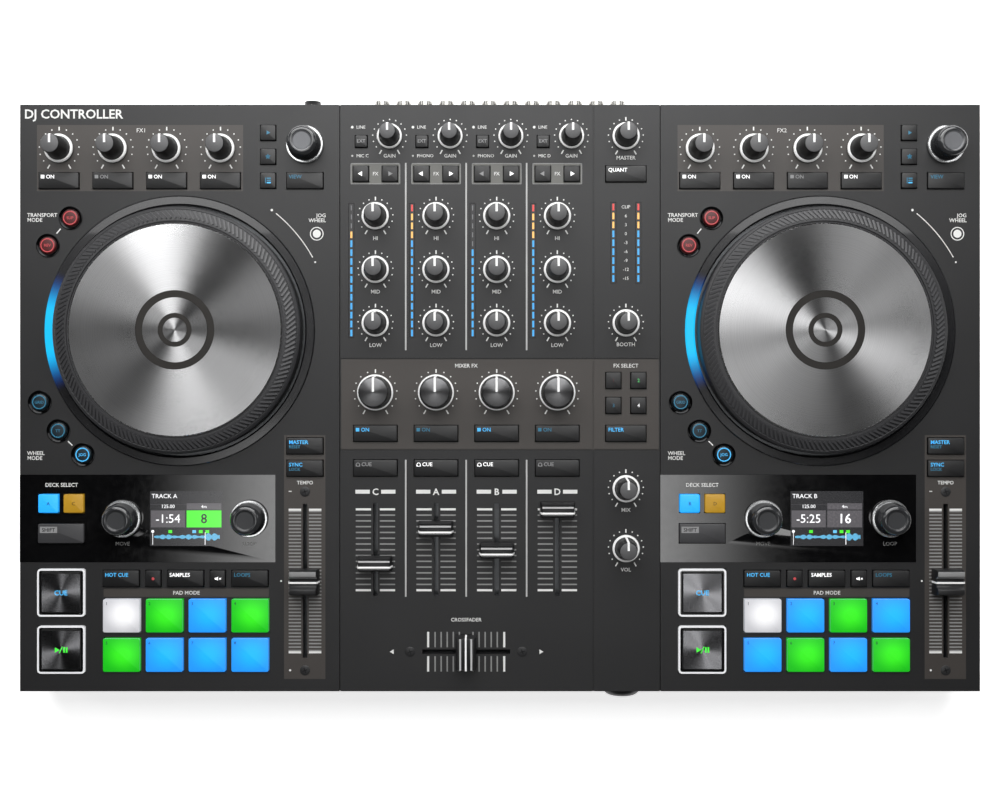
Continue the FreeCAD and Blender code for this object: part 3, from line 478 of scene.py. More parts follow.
for side, x in DECK_X.items():
    bm = bmesh.new()
    for n in range(4):
        tick_ring(bm, f"{side}_fx_knob_{n + 1}", 3.0)
    words(bm, "FX1" if side == "left" else "FX2", x - 23.6, 144.6, PLATE_TOP, 2.2)
    if side == "left":
        words(bm, "DJ CONTROLLER", x - 84.6, 152.2, PLATE_TOP, 4.8, bold=0.12)
    for text, across, along, cap, align in (
        ("TRANSPORT\nMODE", -83.0, 98.6, 2.0, "LEFT"), ("WHEEL\nMODE", -83.0, -31.0, 2.0, "LEFT"),
        ("JOG\nWHEEL", 79.6, 98.4, 2.0, "RIGHT"), ("TEMPO", TEMPO_X, -47.0, 1.9, "CENTER"),
        ("PAD MODE", 3.6, -107.0, 2.0, "CENTER"),
    ):
        words(bm, text, x + across, along, PLATE_TOP, cap, align, bold=0.03)
    # the wheel's mark: a stretch of arc with a dash above it and a dot below, and a ringed spot
    ARC_STEPS = 24
    for n in range(ARC_STEPS):
        angle = math.radians(29 + 21.6 * (n + 0.5) / ARC_STEPS)
        at = (x + ARC_R * math.cos(angle), JOG_Y + ARC_R * math.sin(angle))
        box(bm, *at, PLATE_TOP, 0.5, 1.45, INK, turn=angle)
    for angle, length in ((math.radians(52.7), 1.4), (math.radians(26.9), 1.0)):
        dot(bm, x + ARC_R * math.cos(angle), JOG_Y + ARC_R * math.sin(angle), PLATE_TOP, length / 2)
    dot(bm, x + 74.6, 89.4, PLATE_TOP, 2.2, sides=24)
    hoop(bm, x + 74.6, 89.4, PLATE_TOP, 3.2, 3.7)
    # links between the round keys of one pair
    for turn in (math.radians(140.5), math.radians(225.75)):
        at = (x + ROUND_KEY_R * math.cos(turn), JOG_Y + ROUND_KEY_R * math.sin(turn))
        box(bm, *at, PLATE_TOP, 0.6, 3.4, INK, turn=turn)
    tempo_y = middle(f"{side}_tempo_fader").y
    steps = [TEMPO_REACH * n / 20.5 for n in range(-20, 21)]
    ladder(bm, x + TEMPO_X, tempo_y, steps + [-TEMPO_REACH, TEMPO_REACH], 2.1, 8.9)
    dot(bm, x + 60.1, -148.2, PLATE_TOP, 0.6)
    box(bm, x + 60.1, -50.8, PLATE_TOP, 1.6, 0.5, INK)
    dot(bm, x + 55.2, tempo_y, PLATE_TOP, 0.5)
    printing = make(f"{side}_deck_printing", bm, white_ink, grey_ink)
    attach(printing, "case")

SIDE_X = middle("master_knob").x
bm = bmesh.new()
for letter, x in CHANNEL_X.items():
    tick_ring(bm, f"channel_{letter}_gain_knob", 2.4, long_top=False)
    for band, label in (("high", "HI"), ("mid", "MID"), ("low", "LOW")):
        knob = f"channel_{letter}_{band}_knob"
        tick_ring(bm, knob, 2.1)
        words(bm, label, x, middle(knob).y - 13.0, PLATE_TOP, 2.0, "CENTER", bold=0.03)
    tick_ring(bm, f"channel_{letter}_filter_knob", 1.9)
    words(bm, "GAIN", x + 7.7, 130.9, PLATE_TOP, 1.9, "CENTER", bold=0.03)
    words(bm, "LINE", x - 10.4, 146.6, PLATE_TOP, 1.7)
    dot(bm, x - 12.6, 147.4, PLATE_TOP, 0.75)
    words(bm, f"MIC {letter.upper()}" if letter in "cd" else "PHONO", x - 10.4, 131.0, PLATE_TOP, 1.7)
    dot(bm, x - 12.6, 131.8, PLATE_TOP, 0.55, material=2)
    # the framed pair of effect arrows
    for sign in (-1, 1):
        box(bm, x, 122.1 + sign * 5.55, PLATE_TOP, 27.0, 0.4, INK, material=1)
        box(bm, x + sign * 13.3, 122.1, PLATE_TOP, 0.4, 11.5, INK, material=1)
    words(bm, "FX", x, 121.2, PLATE_TOP, 1.8, "CENTER", bold=0.03)
    # the channel's letter between two bars, and the ticks of its fader
    ladder(bm, x, -82.6, [22.0 * n / 7 for n in range(-7, 8)], 2.4, 10.7)
    words(bm, letter.upper(), x, -52.7, PLATE_TOP, 3.4, "CENTER", bold=0.1)
    for sign in (-1, 1):
        box(bm, x + sign * 7.0, -51.0, PLATE_TOP, 7.8, 2.1, INK)
# lines between the channels
for x in (-51.3, -18.4, 14.5):
    box(bm, x, 77.0, PLATE_TOP, 0.85, 101.9, INK, material=2)
    box(bm, x, -70.9, PLATE_TOP, 0.85, 74.5, INK, material=2)
for knob, label in (
    ("master_knob", "MASTER"), ("booth_knob", "BOOTH"), ("headphone_mix_knob", "MIX"),
    ("headphone_volume_knob", "VOL"),
):
    tick_ring(bm, knob, 2.1)
    words(bm, label, SIDE_X, middle(knob).y - 12.6, PLATE_TOP, 2.0, "CENTER", bold=0.03)
for n, label in enumerate(("CLIP", "6", "3", "0", "-3", "-6", "-9", "-12", "-15")):
    words(bm, label, SIDE_X, 103.2 - n * 4.86, PLATE_TOP, 1.7, "CENTER")
cross_x, cross_y = middle("crossfader").xy
for text, x, y, cap in (
    ("MIXER FX", -18.4, 16.6, 2.0), ("FX SELECT", SIDE_X, 16.6, 2.0), ("CROSSFADER", -18.4, -121.6, 1.9)
):
    words(bm, text, x, y, PLATE_TOP, cap, "CENTER", bold=0.03)
steps = [3.72 + 3.3 * n for n in range(5)] + [20.7]
ladder(bm, cross_x, cross_y, steps + [-place for place in steps], 2.4, 10.8, along_x=True)
for at, turn in ((-58.6, math.pi), (22.2, 0)):
    arrow(bm, at, cross_y, PLATE_TOP, 1.5, turn)
pale_ink = finish("pale_ink", "bcbcbb", 0.6, scale=1800.0, variation=0.06)
printing = make("mixer_printing", bm, white_ink, grey_ink, pale_ink)
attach(printing, "case")


# ---------------------------------------------------------------- display strips
# A gloss black window lies flush in each deck plate over a colour screen. The screen shows the track,
# its time, the loop length and a waveform, and lettering for the keys is printed beside them.

gloss = finish("window_gloss", "0b0b0c", 0.1, scale=300.0, variation=0.1, depth=0.0, coat=1.0)
SCREEN_FINISHES = [
    finish(name, code, 0.25, scale=900.0, variation=variation, depth=0.0, coat=1.0, glow=0.9)
    for name, code, variation in (
        ("screen_dark", "232325", 0.1), ("screen_grey", "4b494c", 0.1), ("screen_white", "e4e4e6", 0.05),
        ("screen_green", "45cf2f", 0.1), ("screen_blue", "5aa5c9", 0.3),
    )
]
DARK, GREY, BRIGHT, LIME, SKY = range(5)


def islands(node):
    """A merged copy of a CAD node in millimetres, and the vertices of each of its solids."""
    bm = bmesh.new()
    bm.from_mesh(nodes[node].data)
    bmesh.ops.remove_doubles(bm, verts=bm.verts, dist=1e-6)
    bmesh.ops.scale(bm, vec=(1000, 1000, 1000), verts=bm.verts)
    left, found = set(bm.verts), []
    while left:
        edge = [left.pop()]
        solid = list(edge)
        while edge:
            near = {e.other_vert(v) for v in edge for e in v.link_edges} & left
            left -= near
            edge = list(near)
            solid += edge
        found.append(solid)
    return bm, found


def extent(verts):
    """The lowest and highest corner of some vertices."""
    return [Vector([pick(v.co[i] for v in verts) for i in range(3)]) for pick in (min, max)]


def over(low, high):
    """The x and y of the middle between two corners."""
    return ((low + high) / 2).xy


def solids_of(node):
    """The corners of each solid of a CAD node, in rows from the rear and from the left in each row."""
    bm, found = islands(node)
    corners = [extent(verts) for verts in found]
    bm.free()
    return sorted(corners, key=lambda c: (-round(c[0].y + c[1].y), c[0].x))


def clear_of(bm, found, keep):
    """Deletes the solids that don't pass a test on their corners."""
    gone = [v for verts in found if not keep(*extent(verts)) for v in verts]
    bmesh.ops.delete(bm, geom=gone, context="VERTS")


screens = [(low, high) for low, high in solids_of("circuit_boards") if high.x - low.x < 50]
# the title, the time left, the loop's length, and the colours of that field and its number
TRACKS = {"left": ("TRACK A", "-1:54", "8", LIME, DARK), "right": ("TRACK B", "-5:25", "16", GREY, BRIGHT)}
GLASS = 0.04
for side, (low, high) in zip(("left", "right"), sorted(screens, key=lambda c: c[0].x)):
    bm, found = islands("windows_and_light_guides")
    sign = 1 if side == "right" else -1
    clear_of(bm, found, lambda a, b: b.x - a.x > 130 and b.y - a.y < 60 and a.x * sign > 0)
    window = make(f"{side}_window", bm, gloss)
    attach(window, "case")
    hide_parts("windows_and_light_guides")

    bm = bmesh.new()
    length, breadth = (high - low).xy
    x, y = low.xy
    box(bm, x + length / 2, y + breadth / 2, PLATE_TOP, length, breadth, GLASS)
    top = PLATE_TOP + GLASS
    title, clock, loop, loop_field, loop_number = TRACKS[side]
    # the line under the title, and the fields of the time, the loop and the beats
    for across, along, wide, tall, shade in (
        (length / 2, 22.5, length - 0.6, 0.1, GREY), (9.8, 14.7, 18.6, 9.2, GREY),
        (29.4, 14.7, 18.9, 9.2, loop_field), (29.4, 21.5, 18.9, 3.4, GREY),
    ):
        box(bm, x + across, y + along, top, wide, tall, INK, material=shade)
    top += INK
    words(bm, title, x + 0.9, y + 26.0, top, 2.3, material=BRIGHT)
    words(bm, "125.00", x + 9.8, y + 20.6, top, 1.9, "CENTER", material=BRIGHT)
    words(bm, "4m", x + 29.4, y + 20.6, top, 1.7, "CENTER", material=BRIGHT)
    words(bm, clock, x + 9.8, y + 12.6, top, 4.6, "CENTER", material=BRIGHT)
    words(bm, loop, x + 29.4, y + 12.4, top, 5.0, "CENTER", bold=0.1, material=loop_number)
    # the waveform, the marks above it, and the lines of the playing place and the start
    BARS = 70
    for n in range(BARS):
        share = n / (BARS - 1)
        swell = 0.35 + 0.65 * abs(math.sin(9.0 * share) * math.sin(31.0 * share + 1.0))
        tall = 3.4 * swell * (1.25 if share > 0.78 else 0.8)
        box(bm, x + 2.6 + share * (length - 4.4), y + 4.9, top, 0.38, tall, INK, material=SKY)
    for share, shade in ((0.28, LIME), (0.61, SKY), (0.7, LIME), (0.79, LIME)):
        box(bm, x + length * share, y + 7.8, top, 2.0, 1.6, INK, material=shade)
    box(bm, x + length * 0.76, y + 4.0, top + INK, 0.35, 6.6, INK, material=BRIGHT)
    dot(bm, x + 1.5, y + 7.9, top, 0.8, material=BRIGHT)
    box(bm, x + 1.5, y + 4.0, top, 0.25, 6.6, INK, material=BRIGHT)
    display = make(f"{side}_screen_image", bm, *SCREEN_FINISHES)
    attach(display, "case")

    bm = bmesh.new()
    words(bm, "DECK SELECT", DECK_X[side] - 64.3, -48.3, PLATE_TOP, 2.0, "CENTER", bold=0.03)
    words(bm, "MOVE", middle(f"{side}_move_encoder").x, -80.3, PLATE_TOP, 2.0, "CENTER", material=1)
    words(bm, "LOOP", middle(f"{side}_loop_encoder").x, -80.3, PLATE_TOP, 2.0, "CENTER", material=1)
    lettering = make(f"{side}_window_printing", bm, white_ink, grey_ink)
    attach(lettering, "case")


# ---------------------------------------------------------------- light rings
# A smoked acrylic ring stands round each wheel on the motor's flange. Lamps under its left side glow
# through it in blue, fading out along the ring.

ring_glow, given, sent = node_group(
    "ring_glow", [("Centre X", "Float", 0.0), ("Centre Y", "Float", 0.0)], [("Mask", "Float")]
)
place = position(ring_glow)
across = calc(ring_glow, "SUBTRACT", place["X"], given["Centre X"])
along = calc(ring_glow, "SUBTRACT", place["Y"], given["Centre Y"])
turn = calc(ring_glow, "ARCTAN2", calc(ring_glow, "ABSOLUTE", along), calc(ring_glow, "MULTIPLY", across, -1.0))
ring_glow.links.new(ramp(ring_glow, turn, math.radians(27), math.radians(8)), sent["Mask"])

rings = [(low, high) for low, high in solids_of("windows_and_light_guides") if high.y - low.y > 100]
for side, (low, high) in zip(("left", "right"), rings):
    x, y = over(low, high)
    outer = (high.x - low.x) / 2
    inner = outer - 5.2
    bm = bmesh.new()
    corners = [
        (inner, low.z), (outer, low.z), (outer, high.z - 0.5), (outer - 0.5, high.z), (inner + 0.9, high.z),
        (inner, high.z - 0.9),
    ]
    spin(bm, [(x + r, y, h) for r, h in corners], (x, y, 0), 160)
    acrylic = finish(f"{side}_ring_acrylic", "1b1b1d", 0.22, scale=900.0, variation=0.1, depth=0.0, coat=0.6)
    tree = acrylic.node_tree
    shader = tree.nodes["Principled BSDF"]
    lit = group_node(tree, ring_glow, {"Centre X": x / 1000, "Centre Y": y / 1000})
    blue = mix(tree, lit.outputs["Mask"], tone("1c4fd0"), tone("10c4ff"))
    tree.links.new(mix(tree, lit.outputs["Mask"], tone("000000"), blue), shader.inputs["Emission Color"])
    shader.inputs["Emission Strength"].default_value = 1.1
    ring = make(f"{side}_light_ring", bm, acrylic)
    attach(ring, "case")
    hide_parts("windows_and_light_guides")


# ---------------------------------------------------------------- bezels and level meters
# A white lit frame stands round each cue and play key. Each meter is a column of lamp windows: blue,
# then amber, with red for clipping at the top; unlit ones are smoked.

white_light = finish("white_light", "d9dadc", 0.35, scale=900.0, variation=0.04, glow=0.4)
METER_FINISHES = [
    finish(name, code, roughness, scale=900.0, variation=0.05, glow=glow)
    for name, code, roughness, glow in (
        ("blue_light", "3a8fc8", 0.3, 0.8), ("amber_light", "dba55a", 0.3, 0.8), ("red_light", "c23f3c", 0.3, 0.6),
        ("dark_light", "7d7d80", 0.4, 0.0),
    )
]
METER_FINISHES.append(finish("meter_window", "313132", 0.45, scale=1500.0, variation=0.1))


def rounded_plate(bm, low, high, corner, material=0):
    """A closed box between two corners with its upright edges rounded. It gives its top edges."""
    size, centre = high - low, (high + low) / 2
    verts = box(bm, centre.x, centre.y, low.z, size.x, size.y, size.z, material=material)
    upright = [
        e for e in {e for v in verts for e in v.link_edges}
        if abs(e.verts[0].co.z - e.verts[1].co.z) > size.z / 2
    ]
    made = bmesh.ops.bevel(
        bm, geom=upright, offset=corner, offset_type="OFFSET", segments=4, profile=0.5,
        affect="EDGES", material=-1,
    )
    near = set(made["verts"]) | {v for v in verts if v.is_valid}
    edges = {e for v in near for e in v.link_edges}
    return [e for e in edges if min(v.co.z for v in e.verts) > high.z - 0.001]


guides = solids_of("windows_and_light_guides")
bm = bmesh.new()
for low, high in guides:
    if not 20 < high.x - low.x < 30:
        continue
    rounded_plate(bm, low, high, 2.0)
    top = [
        f for f in bm.faces
        if f.normal.z > 0.9 and f.calc_center_median().z > high.z - 0.01 and len(f.verts) > 4
    ]
    mouth = min(top, key=lambda f: (f.calc_center_median().xy - over(low, high)).length)
    bmesh.ops.inset_region(bm, faces=[mouth], thickness=1.0, depth=0.0, use_even_offset=True)
    mouth.material_index = 1
    bmesh.ops.inset_region(bm, faces=[mouth], thickness=0.55, depth=0.0, use_even_offset=True)
    sunk = bmesh.ops.extrude_discrete_faces(bm, faces=[mouth])["faces"]
    bmesh.ops.translate(bm, vec=(0, 0, -2.4), verts=sunk[0].verts)
    paint(sunk[0].verts, 1)
bezels = make("start_key_bezels", bm, white_light, gloss)
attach(bezels, "case")
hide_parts("windows_and_light_guides")

METER_SLIT = 1.05
# for each meter from the left: how many windows it has, and how many of the top ones are off
METERS = ((15, 3), (15, 0), (15, 5), (15, 0), (9, 0), (9, 0))
columns = sorted([c for c in guides if c[1].x - c[0].x < 4], key=lambda c: c[0].x)
bm = bmesh.new()
for (count, off), (low, high) in zip(METERS, columns):
    x, y = over(low, high)
    length, breadth, height = high - low
    box(bm, x, y, low.z, length, breadth, height - 0.1, material=4)
    pitch = breadth / count
    for n in range(count):
        from_top = count - 1 - n
        shade = 3 if from_top < off else 2 if from_top == 0 else 1 if from_top < count // 4 + 1 else 0
        wide, gap = (METER_SLIT / 2, 2.2) if shade == 3 else (METER_SLIT, 1.3)
        box(bm, x, low.y + (n + 0.5) * pitch, high.z - 0.3, wide, pitch - gap, 0.3, material=shade)
meters = make("level_meters", bm, *METER_FINISHES)
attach(meters, "case")
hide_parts("windows_and_light_guides")


# ---------------------------------------------------------------- jog wheels
# Each wheel is a black rubber rim with slanted finger ridges, drawn lighter as a painted highlight, round a spun
# aluminium plate, on the shaft of its drive motor. A plain sunk ring and hub mark the middle of the plate.

rubber = finish("rim_rubber", "303032", 0.5, scale=1500.0, variation=0.2, depth=0.03)
# painted highlight: the ridges are the rim's rubber, drawn lighter as where they catch the light
ridge_rubber_painted_highlight = finish("ridge_rubber_painted_highlight", "3f3f41", 0.38, scale=1500.0, variation=0.2, depth=0.02)

turning, given, sent = node_group(
    "turning_lines",
    [("Centre X", "Float", 0.0), ("Centre Y", "Float", 0.0), ("Colour", "Color", (0.5, 0.5, 0.5, 1))],
    [("Colour", "Color")],
)
place = position(turning)
squares = [
    calc(turning, "POWER", calc(turning, "SUBTRACT", place[axis], given[f"Centre {axis}"]), 2.0)
    for axis in "XY"
]
lines = turning.nodes.new("ShaderNodeTexNoise")
lines.noise_dimensions = "1D"
lines.inputs["Scale"].default_value = 3000.0
turning.links.new(calc(turning, "SQRT", calc(turning, "ADD", *squares)), lines.inputs["W"])
brightness = calc(turning, "ADD", calc(turning, "MULTIPLY", lines.outputs["Fac"], 0.5), 0.75)
turning.links.new(scaled(turning, given["Colour"], brightness), sent["Colour"])


def spun(name, code, roughness, amount, x, y):
    """Turned metal: fine circles about a point in millimetres, which stretch its highlights outwards."""
    material = finish(name, code, roughness, scale=8000.0, variation=0.04, depth=0.0, metallic=1.0)
    tree = material.node_tree
    shader = tree.nodes["Principled BSDF"]
    lines = group_node(tree, turning, {"Centre X": x / 1000, "Centre Y": y / 1000, "Colour": tone(code)})
    recolour(tree, lines.outputs["Colour"])
    tangent = tree.nodes.new("ShaderNodeTangent")
    tangent.direction_type = "RADIAL"
    tangent.axis = "Z"
    tree.links.new(tangent.outputs["Tangent"], shader.inputs["Tangent"])
    shader.inputs["Anisotropic"].default_value = amount
    shader.inputs["Anisotropic Rotation"].default_value = 0.25
    return material


def turned(bm, profile, x, y, steps=64, material=0):
    """Spins a (radius, height) profile about an upright axis, and gives its new faces."""
    return spin(bm, [(x + r, y, h) for r, h in profile], (x, y, 0), steps, material, closed=False)


def radius_of(face, x, y):
    return (face.calc_center_median().xy - Vector((x, y))).length


# the turned faces of each deck have two soft boxes of their own, which draw their bright fans
fans = {side: bpy.data.collections.new(f"{side}_turned_faces") for side in DECK_X}
WHEEL_LAMPS = {
    "left": (("left_wheel_key", (-0.54, 0.557, 1.075), 3.5), ("left_wheel_fill", (0.046, 0.31, 1.2), 0.7)),
    "right": (("right_wheel_key", (0.068, 0.273, 1.22), 2.5), ("right_wheel_fill", (0.593, 0.606, 1.03), 0.8)),
}
DISC_R, MARK_OUT, MARK_IN, HUB_R, HUB_GROOVE = 57.4, 21.3, 17.4, 6.5, 2.6
RIDGES, RIDGE_R, RIDGE_SLANT, RIDGE_PITCH = 150, 62.2, math.radians(38), math.radians(16)

for side in ("left", "right"):
    node = f"{side}_jog_wheel"
    low, high = corners_of(node)
    x, y = over(low, high)
    rim = (high.x - low.x) / 2
    top, foot = high.z, PLATE_TOP - 2.6

    bm = bmesh.new()
    turned(
        bm,
        [
            (0, foot), (rim, foot), (rim, top - 3.4), (rim - 0.5, top - 2.9), (65.2, top - 2.4),
            (64.8, top - 2.5), (59.6, top - 0.5), (58.6, top - 0.5), (58.4, top - 1.2),
            (DISC_R - 0.3, top - 1.2), (DISC_R - 0.3, top - 2.0), (0, top - 2.0),
        ],
        x, y, steps=160,
    )
    # slanted ridges on the sloping band, in a lighter copy of the rubber that is a painted highlight
    for n in range(RIDGES):
        angle = 2 * math.pi * n / RIDGES
        spot = Vector((x + RIDGE_R * math.cos(angle), y + RIDGE_R * math.sin(angle), top - 1.35))
        turn = Matrix.Rotation(angle + RIDGE_SLANT, 4, "Z") @ Matrix.Rotation(RIDGE_PITCH, 4, "Y")
        made = bmesh.ops.create_cube(
            bm, size=1, matrix=Matrix.Translation(spot) @ turn @ Matrix.Diagonal((6.0, 1.1, 0.8, 1))
        )
        paint(made["verts"], 1)
    wheel = make(f"{side}_jog_rim", bm, rubber, ridge_rubber_painted_highlight)
    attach(wheel, node)
    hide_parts(node)

    bm = bmesh.new()
    disc = turned(
        bm,
        [
            (0, top - 2.0), (DISC_R, top - 2.0), (DISC_R, top - 0.6), (DISC_R - 0.6, top),
            (MARK_OUT, top), (MARK_OUT - 0.1, top - 0.25), (MARK_IN + 0.1, top - 0.25), (MARK_IN, top),
            (HUB_R + HUB_GROOVE, top), (HUB_R + HUB_GROOVE - 0.1, top - 0.25), (HUB_R, top - 0.25),
            (HUB_R - 0.1, top), (0, top),
        ],
        x, y, steps=192,
    )
    for face in disc:
        away = radius_of(face, x, y)
        height = face.calc_center_median().z
        in_mark = MARK_IN < away < MARK_OUT or HUB_R < away < HUB_R + HUB_GROOVE
        if top - 0.3 < height < top - 0.05 and in_mark:
            face.material_index = 1
        elif away > DISC_R - 0.5 and height > top - 1.0:
            face.material_index = 2
    disc = make(
        f"{side}_jog_plate", bm,
        spun(f"{side}_jog_aluminium", "c4c4c5", 0.3, 0.92, x, y),
        finish(f"{side}_jog_mark", "4c4946", 0.5, scale=900.0, metallic=0.4),
        finish(f"{side}_jog_edge", "d8d8d8", 0.25, scale=900.0, metallic=1.0, variation=0.05),
    )
    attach(disc, node)
    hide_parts(node)
    for name, place, power in WHEEL_LAMPS[side]:
        light = lamp(name, place, (x / 1000, y / 1000, 0), (0.35, 0.35), power)
        light.light_linking.receiver_collection = fans[side]
    fans[side].objects.link(disc)

    bm = bmesh.new()
    turned(bm, [(0, low.z), (6.0, low.z), (6.0, foot), (0, foot)], x, y, steps=32)
    shaft = make(f"{side}_jog_shaft", bm, finish(f"{side}_shaft_steel", "8d8f91", 0.3, metallic=1.0))
    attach(shaft, node)
    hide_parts(node)


# ---------------------------------------------------------------- knobs
# Every pot carries a black moulded knob: a skirt with a bright white ring, ribbed sides for the fingers, a top
# painted mid-grey as a painted sheen, and a white pointer that runs from the middle over the edge to the skirt.
# The ring and the pointer glow a little, a painted brightening.

knob_black = finish("knob_black", "161617", 0.38, scale=1500.0, variation=0.2, depth=0.02)
# painted sheen: the black knob's top is drawn mid-grey, as where the lamps catch it
knob_top_painted_sheen = finish("knob_top_painted_sheen", "5a5a5b", 0.42, scale=1500.0, variation=0.15, depth=0.02)
# painted brightening: the white ring glows a little, though it is no lamp
knob_ring_painted_glow = finish("knob_ring_painted_glow", "f0f0ef", 0.3, scale=900.0, variation=0.05, glow=0.12)
# painted brightening: the white pointer, also used for the fader lines, glows a little, though it is no lamp
pointer_white_painted_glow = finish("pointer_white_painted_glow", "f6f6f5", 0.4, scale=900.0, variation=0.05, glow=0.15)
SKIRT, SKIRT_GAP, SHAFT_R = 1.5, 0.6, 3.0


def pointer(bm, x, y, top_r, foot_r, top, foot):
    """A thin bar that lies on the top from near the middle, and runs on down the side."""
    START, PROUD, WIDTH = 0.3, 0.15, 1.15
    outline = [
        (START, top + PROUD), (top_r - 0.35, top + PROUD), (top_r + 0.12, top - 0.6), (foot_r + 0.2, foot),
        (foot_r - 0.6, foot), (top_r - 0.8, top - 0.8), (START, top - 0.4),
    ]
    face = bm.faces.new([bm.verts.new((x - WIDTH / 2, y + r, h)) for r, h in outline])
    side = bmesh.ops.extrude_face_region(bm, geom=[face])["geom"]
    verts = [v for v in side if isinstance(v, bmesh.types.BMVert)]
    bmesh.ops.translate(bm, vec=(WIDTH, 0, 0), verts=verts)
    paint([*verts, *face.verts], 3)


RIBS, RIB_DEPTH = 60, 0.955


def skirt_profile(foot, base, skirt_r, edge):
    """The profile of a knob from its shaft's foot to its skirt's shelf, whose rim is eased by an edge."""
    shelf = base + SKIRT
    return [
        (0, foot), (SHAFT_R, foot), (SHAFT_R, base), (skirt_r - 0.3, base), (skirt_r, base + 0.3),
        (skirt_r, shelf - edge), (skirt_r - edge, shelf),
    ]


def knob_mesh(bm, node, foot_share, top_share):
    """A knob's body on its shaft, from its CAD box. Slots: 0 side, 1 top, 2 ring, 3 pointer."""
    low, high = corners_of(node)
    x, y = over(low, high)
    skirt_r = (high.x - low.x) / 2
    foot_r, top_r = skirt_r * foot_share, skirt_r * top_share
    base, top = PLATE_TOP + SKIRT_GAP, high.z
    shelf = base + SKIRT
    faces = turned(
        bm,
        skirt_profile(low.z, base, skirt_r, 0.35) + [
            (foot_r + 0.35, shelf), (foot_r, shelf + 0.2), (foot_r - 0.1, shelf + 0.9), (top_r + 0.2, top - 1.5),
            (top_r, top - 0.6), (top_r - 0.2, top - 0.2), (top_r - 0.6, top), (0, top),
        ],
        x, y, steps=RIBS,
    )
    axis = Vector((x, y))
    for vert in {v for f in faces for v in f.verts}:
        step = round((math.atan2(vert.co.y - y, vert.co.x - x) / (2 * math.pi)) * RIBS)
        if step % 2 and shelf + 0.5 < vert.co.z < top - 1.0:
            vert.co.xy = axis + (vert.co.xy - axis) * RIB_DEPTH
    for face in faces:
        height, away = face.calc_center_median().z, radius_of(face, x, y)
        if height > top - 0.3:
            face.material_index = 1
        elif base + 0.35 < height < shelf + 0.05 and away > foot_r + 0.2:
            face.material_index = 2
    return x, y, foot_r, top_r, shelf, top


for node in nodes:
    if not node.endswith("knob") and "_fx_knob_" not in node:
        continue
    sweep = node.endswith("filter_knob")
    bm = bmesh.new()
    x, y, foot_r, top_r, shelf, top = knob_mesh(bm, node, *((0.878, 0.806) if sweep else (0.8, 0.635)))
    pointer(bm, x, y, top_r, foot_r, top, shelf + 0.1)
    lid = spun(f"{node}_metal", "6c6c6d", 0.3, 0.92, x, y) if sweep else knob_top_painted_sheen
    cap = make(f"{node}_cap", bm, knob_black, lid, knob_ring_painted_glow, pointer_white_painted_glow)
    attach(cap, node)
    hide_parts(node)


# ---------------------------------------------------------------- encoders
# The browse, move and loop encoders are low glossy knobs without a pointer: a bright metal ring at the skirt,
# which glows a little as a painted highlight, smooth sides and a dished satin top with a raised lip.

encoder_side = finish("encoder_side", "2e2f31", 0.18, scale=900.0, variation=0.1, depth=0.0, coat=0.7)
encoder_top = finish("encoder_top", "66676a", 0.4, scale=1500.0, variation=0.12, depth=0.01, metallic=0.3)
encoder_dark = finish("encoder_dark", "333436", 0.42, scale=1500.0, variation=0.12, depth=0.01)
# painted highlight: the polished ring glows a little, though it is no lamp
encoder_ring_painted_glow = finish("encoder_ring_painted_glow", "d9dadb", 0.2, scale=900.0, variation=0.05, metallic=0.9, glow=0.05)

for node in nodes:
    if not node.endswith("encoder"):
        continue
    low, high = corners_of(node)
    x, y = over(low, high)
    skirt_r = (high.x - low.x) / 2
    foot_r, top_r = skirt_r * 0.873, skirt_r * 0.804
    base, top = PLATE_TOP + SKIRT_GAP, high.z
    shelf = base + SKIRT
    bm = bmesh.new()
    faces = turned(
        bm,
        skirt_profile(low.z, base, skirt_r, 0.4) + [
            (foot_r + 0.2, shelf), (foot_r, shelf + 0.4), (top_r + 0.2, top - 2.6), (top_r - 0.3, top - 1.2),
            (top_r - 1.2, top - 0.3), (top_r - 2.2, top), (top_r - 2.9, top - 0.1), (top_r - 3.6, top - 0.7),
            (0, top - 0.8),
        ],
        x, y,
    )
    for face in faces:
        height, away = face.calc_center_median().z, radius_of(face, x, y)
        if away < top_r - 2.8 and height > top - 1.0:
            face.material_index = 1
        elif base + 0.35 < height < shelf + 0.05 and away > foot_r + 0.1:
            face.material_index = 2
    lid = encoder_top if "browse" in node else encoder_dark
    cap = make(f"{node}_cap", bm, encoder_side, lid, encoder_ring_painted_glow)
    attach(cap, node)
    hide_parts(node)


# ---------------------------------------------------------------- faders
# Each fader has a black moulded cap, pressed on a flat steel stem that slides in its track. Channel caps
# carry two marker lines, the crossfader three and the tempo faders one, which wraps down the sides.

cap_black = finish("fader_black", "202021", 0.4, scale=1500.0, variation=0.2, depth=0.02)
cap_grey = finish("fader_grip", "8a8a8a", 0.45, scale=1500.0, variation=0.12, depth=0.02)
line_grey = finish("fader_line_grey", "c4c4c4", 0.4, scale=900.0, variation=0.05)
stem_steel = finish("stem_steel", "8d8f91", 0.35, scale=900.0, metallic=1.0)
FADERS = {
    "left_tempo_fader": "tempo", "right_tempo_fader": "tempo", "crossfader": "cross",
    **{f"channel_{letter}_fader": "channel" for letter in CHANNELS},
}
CAP_FOOT = PLATE_TOP + 1.6
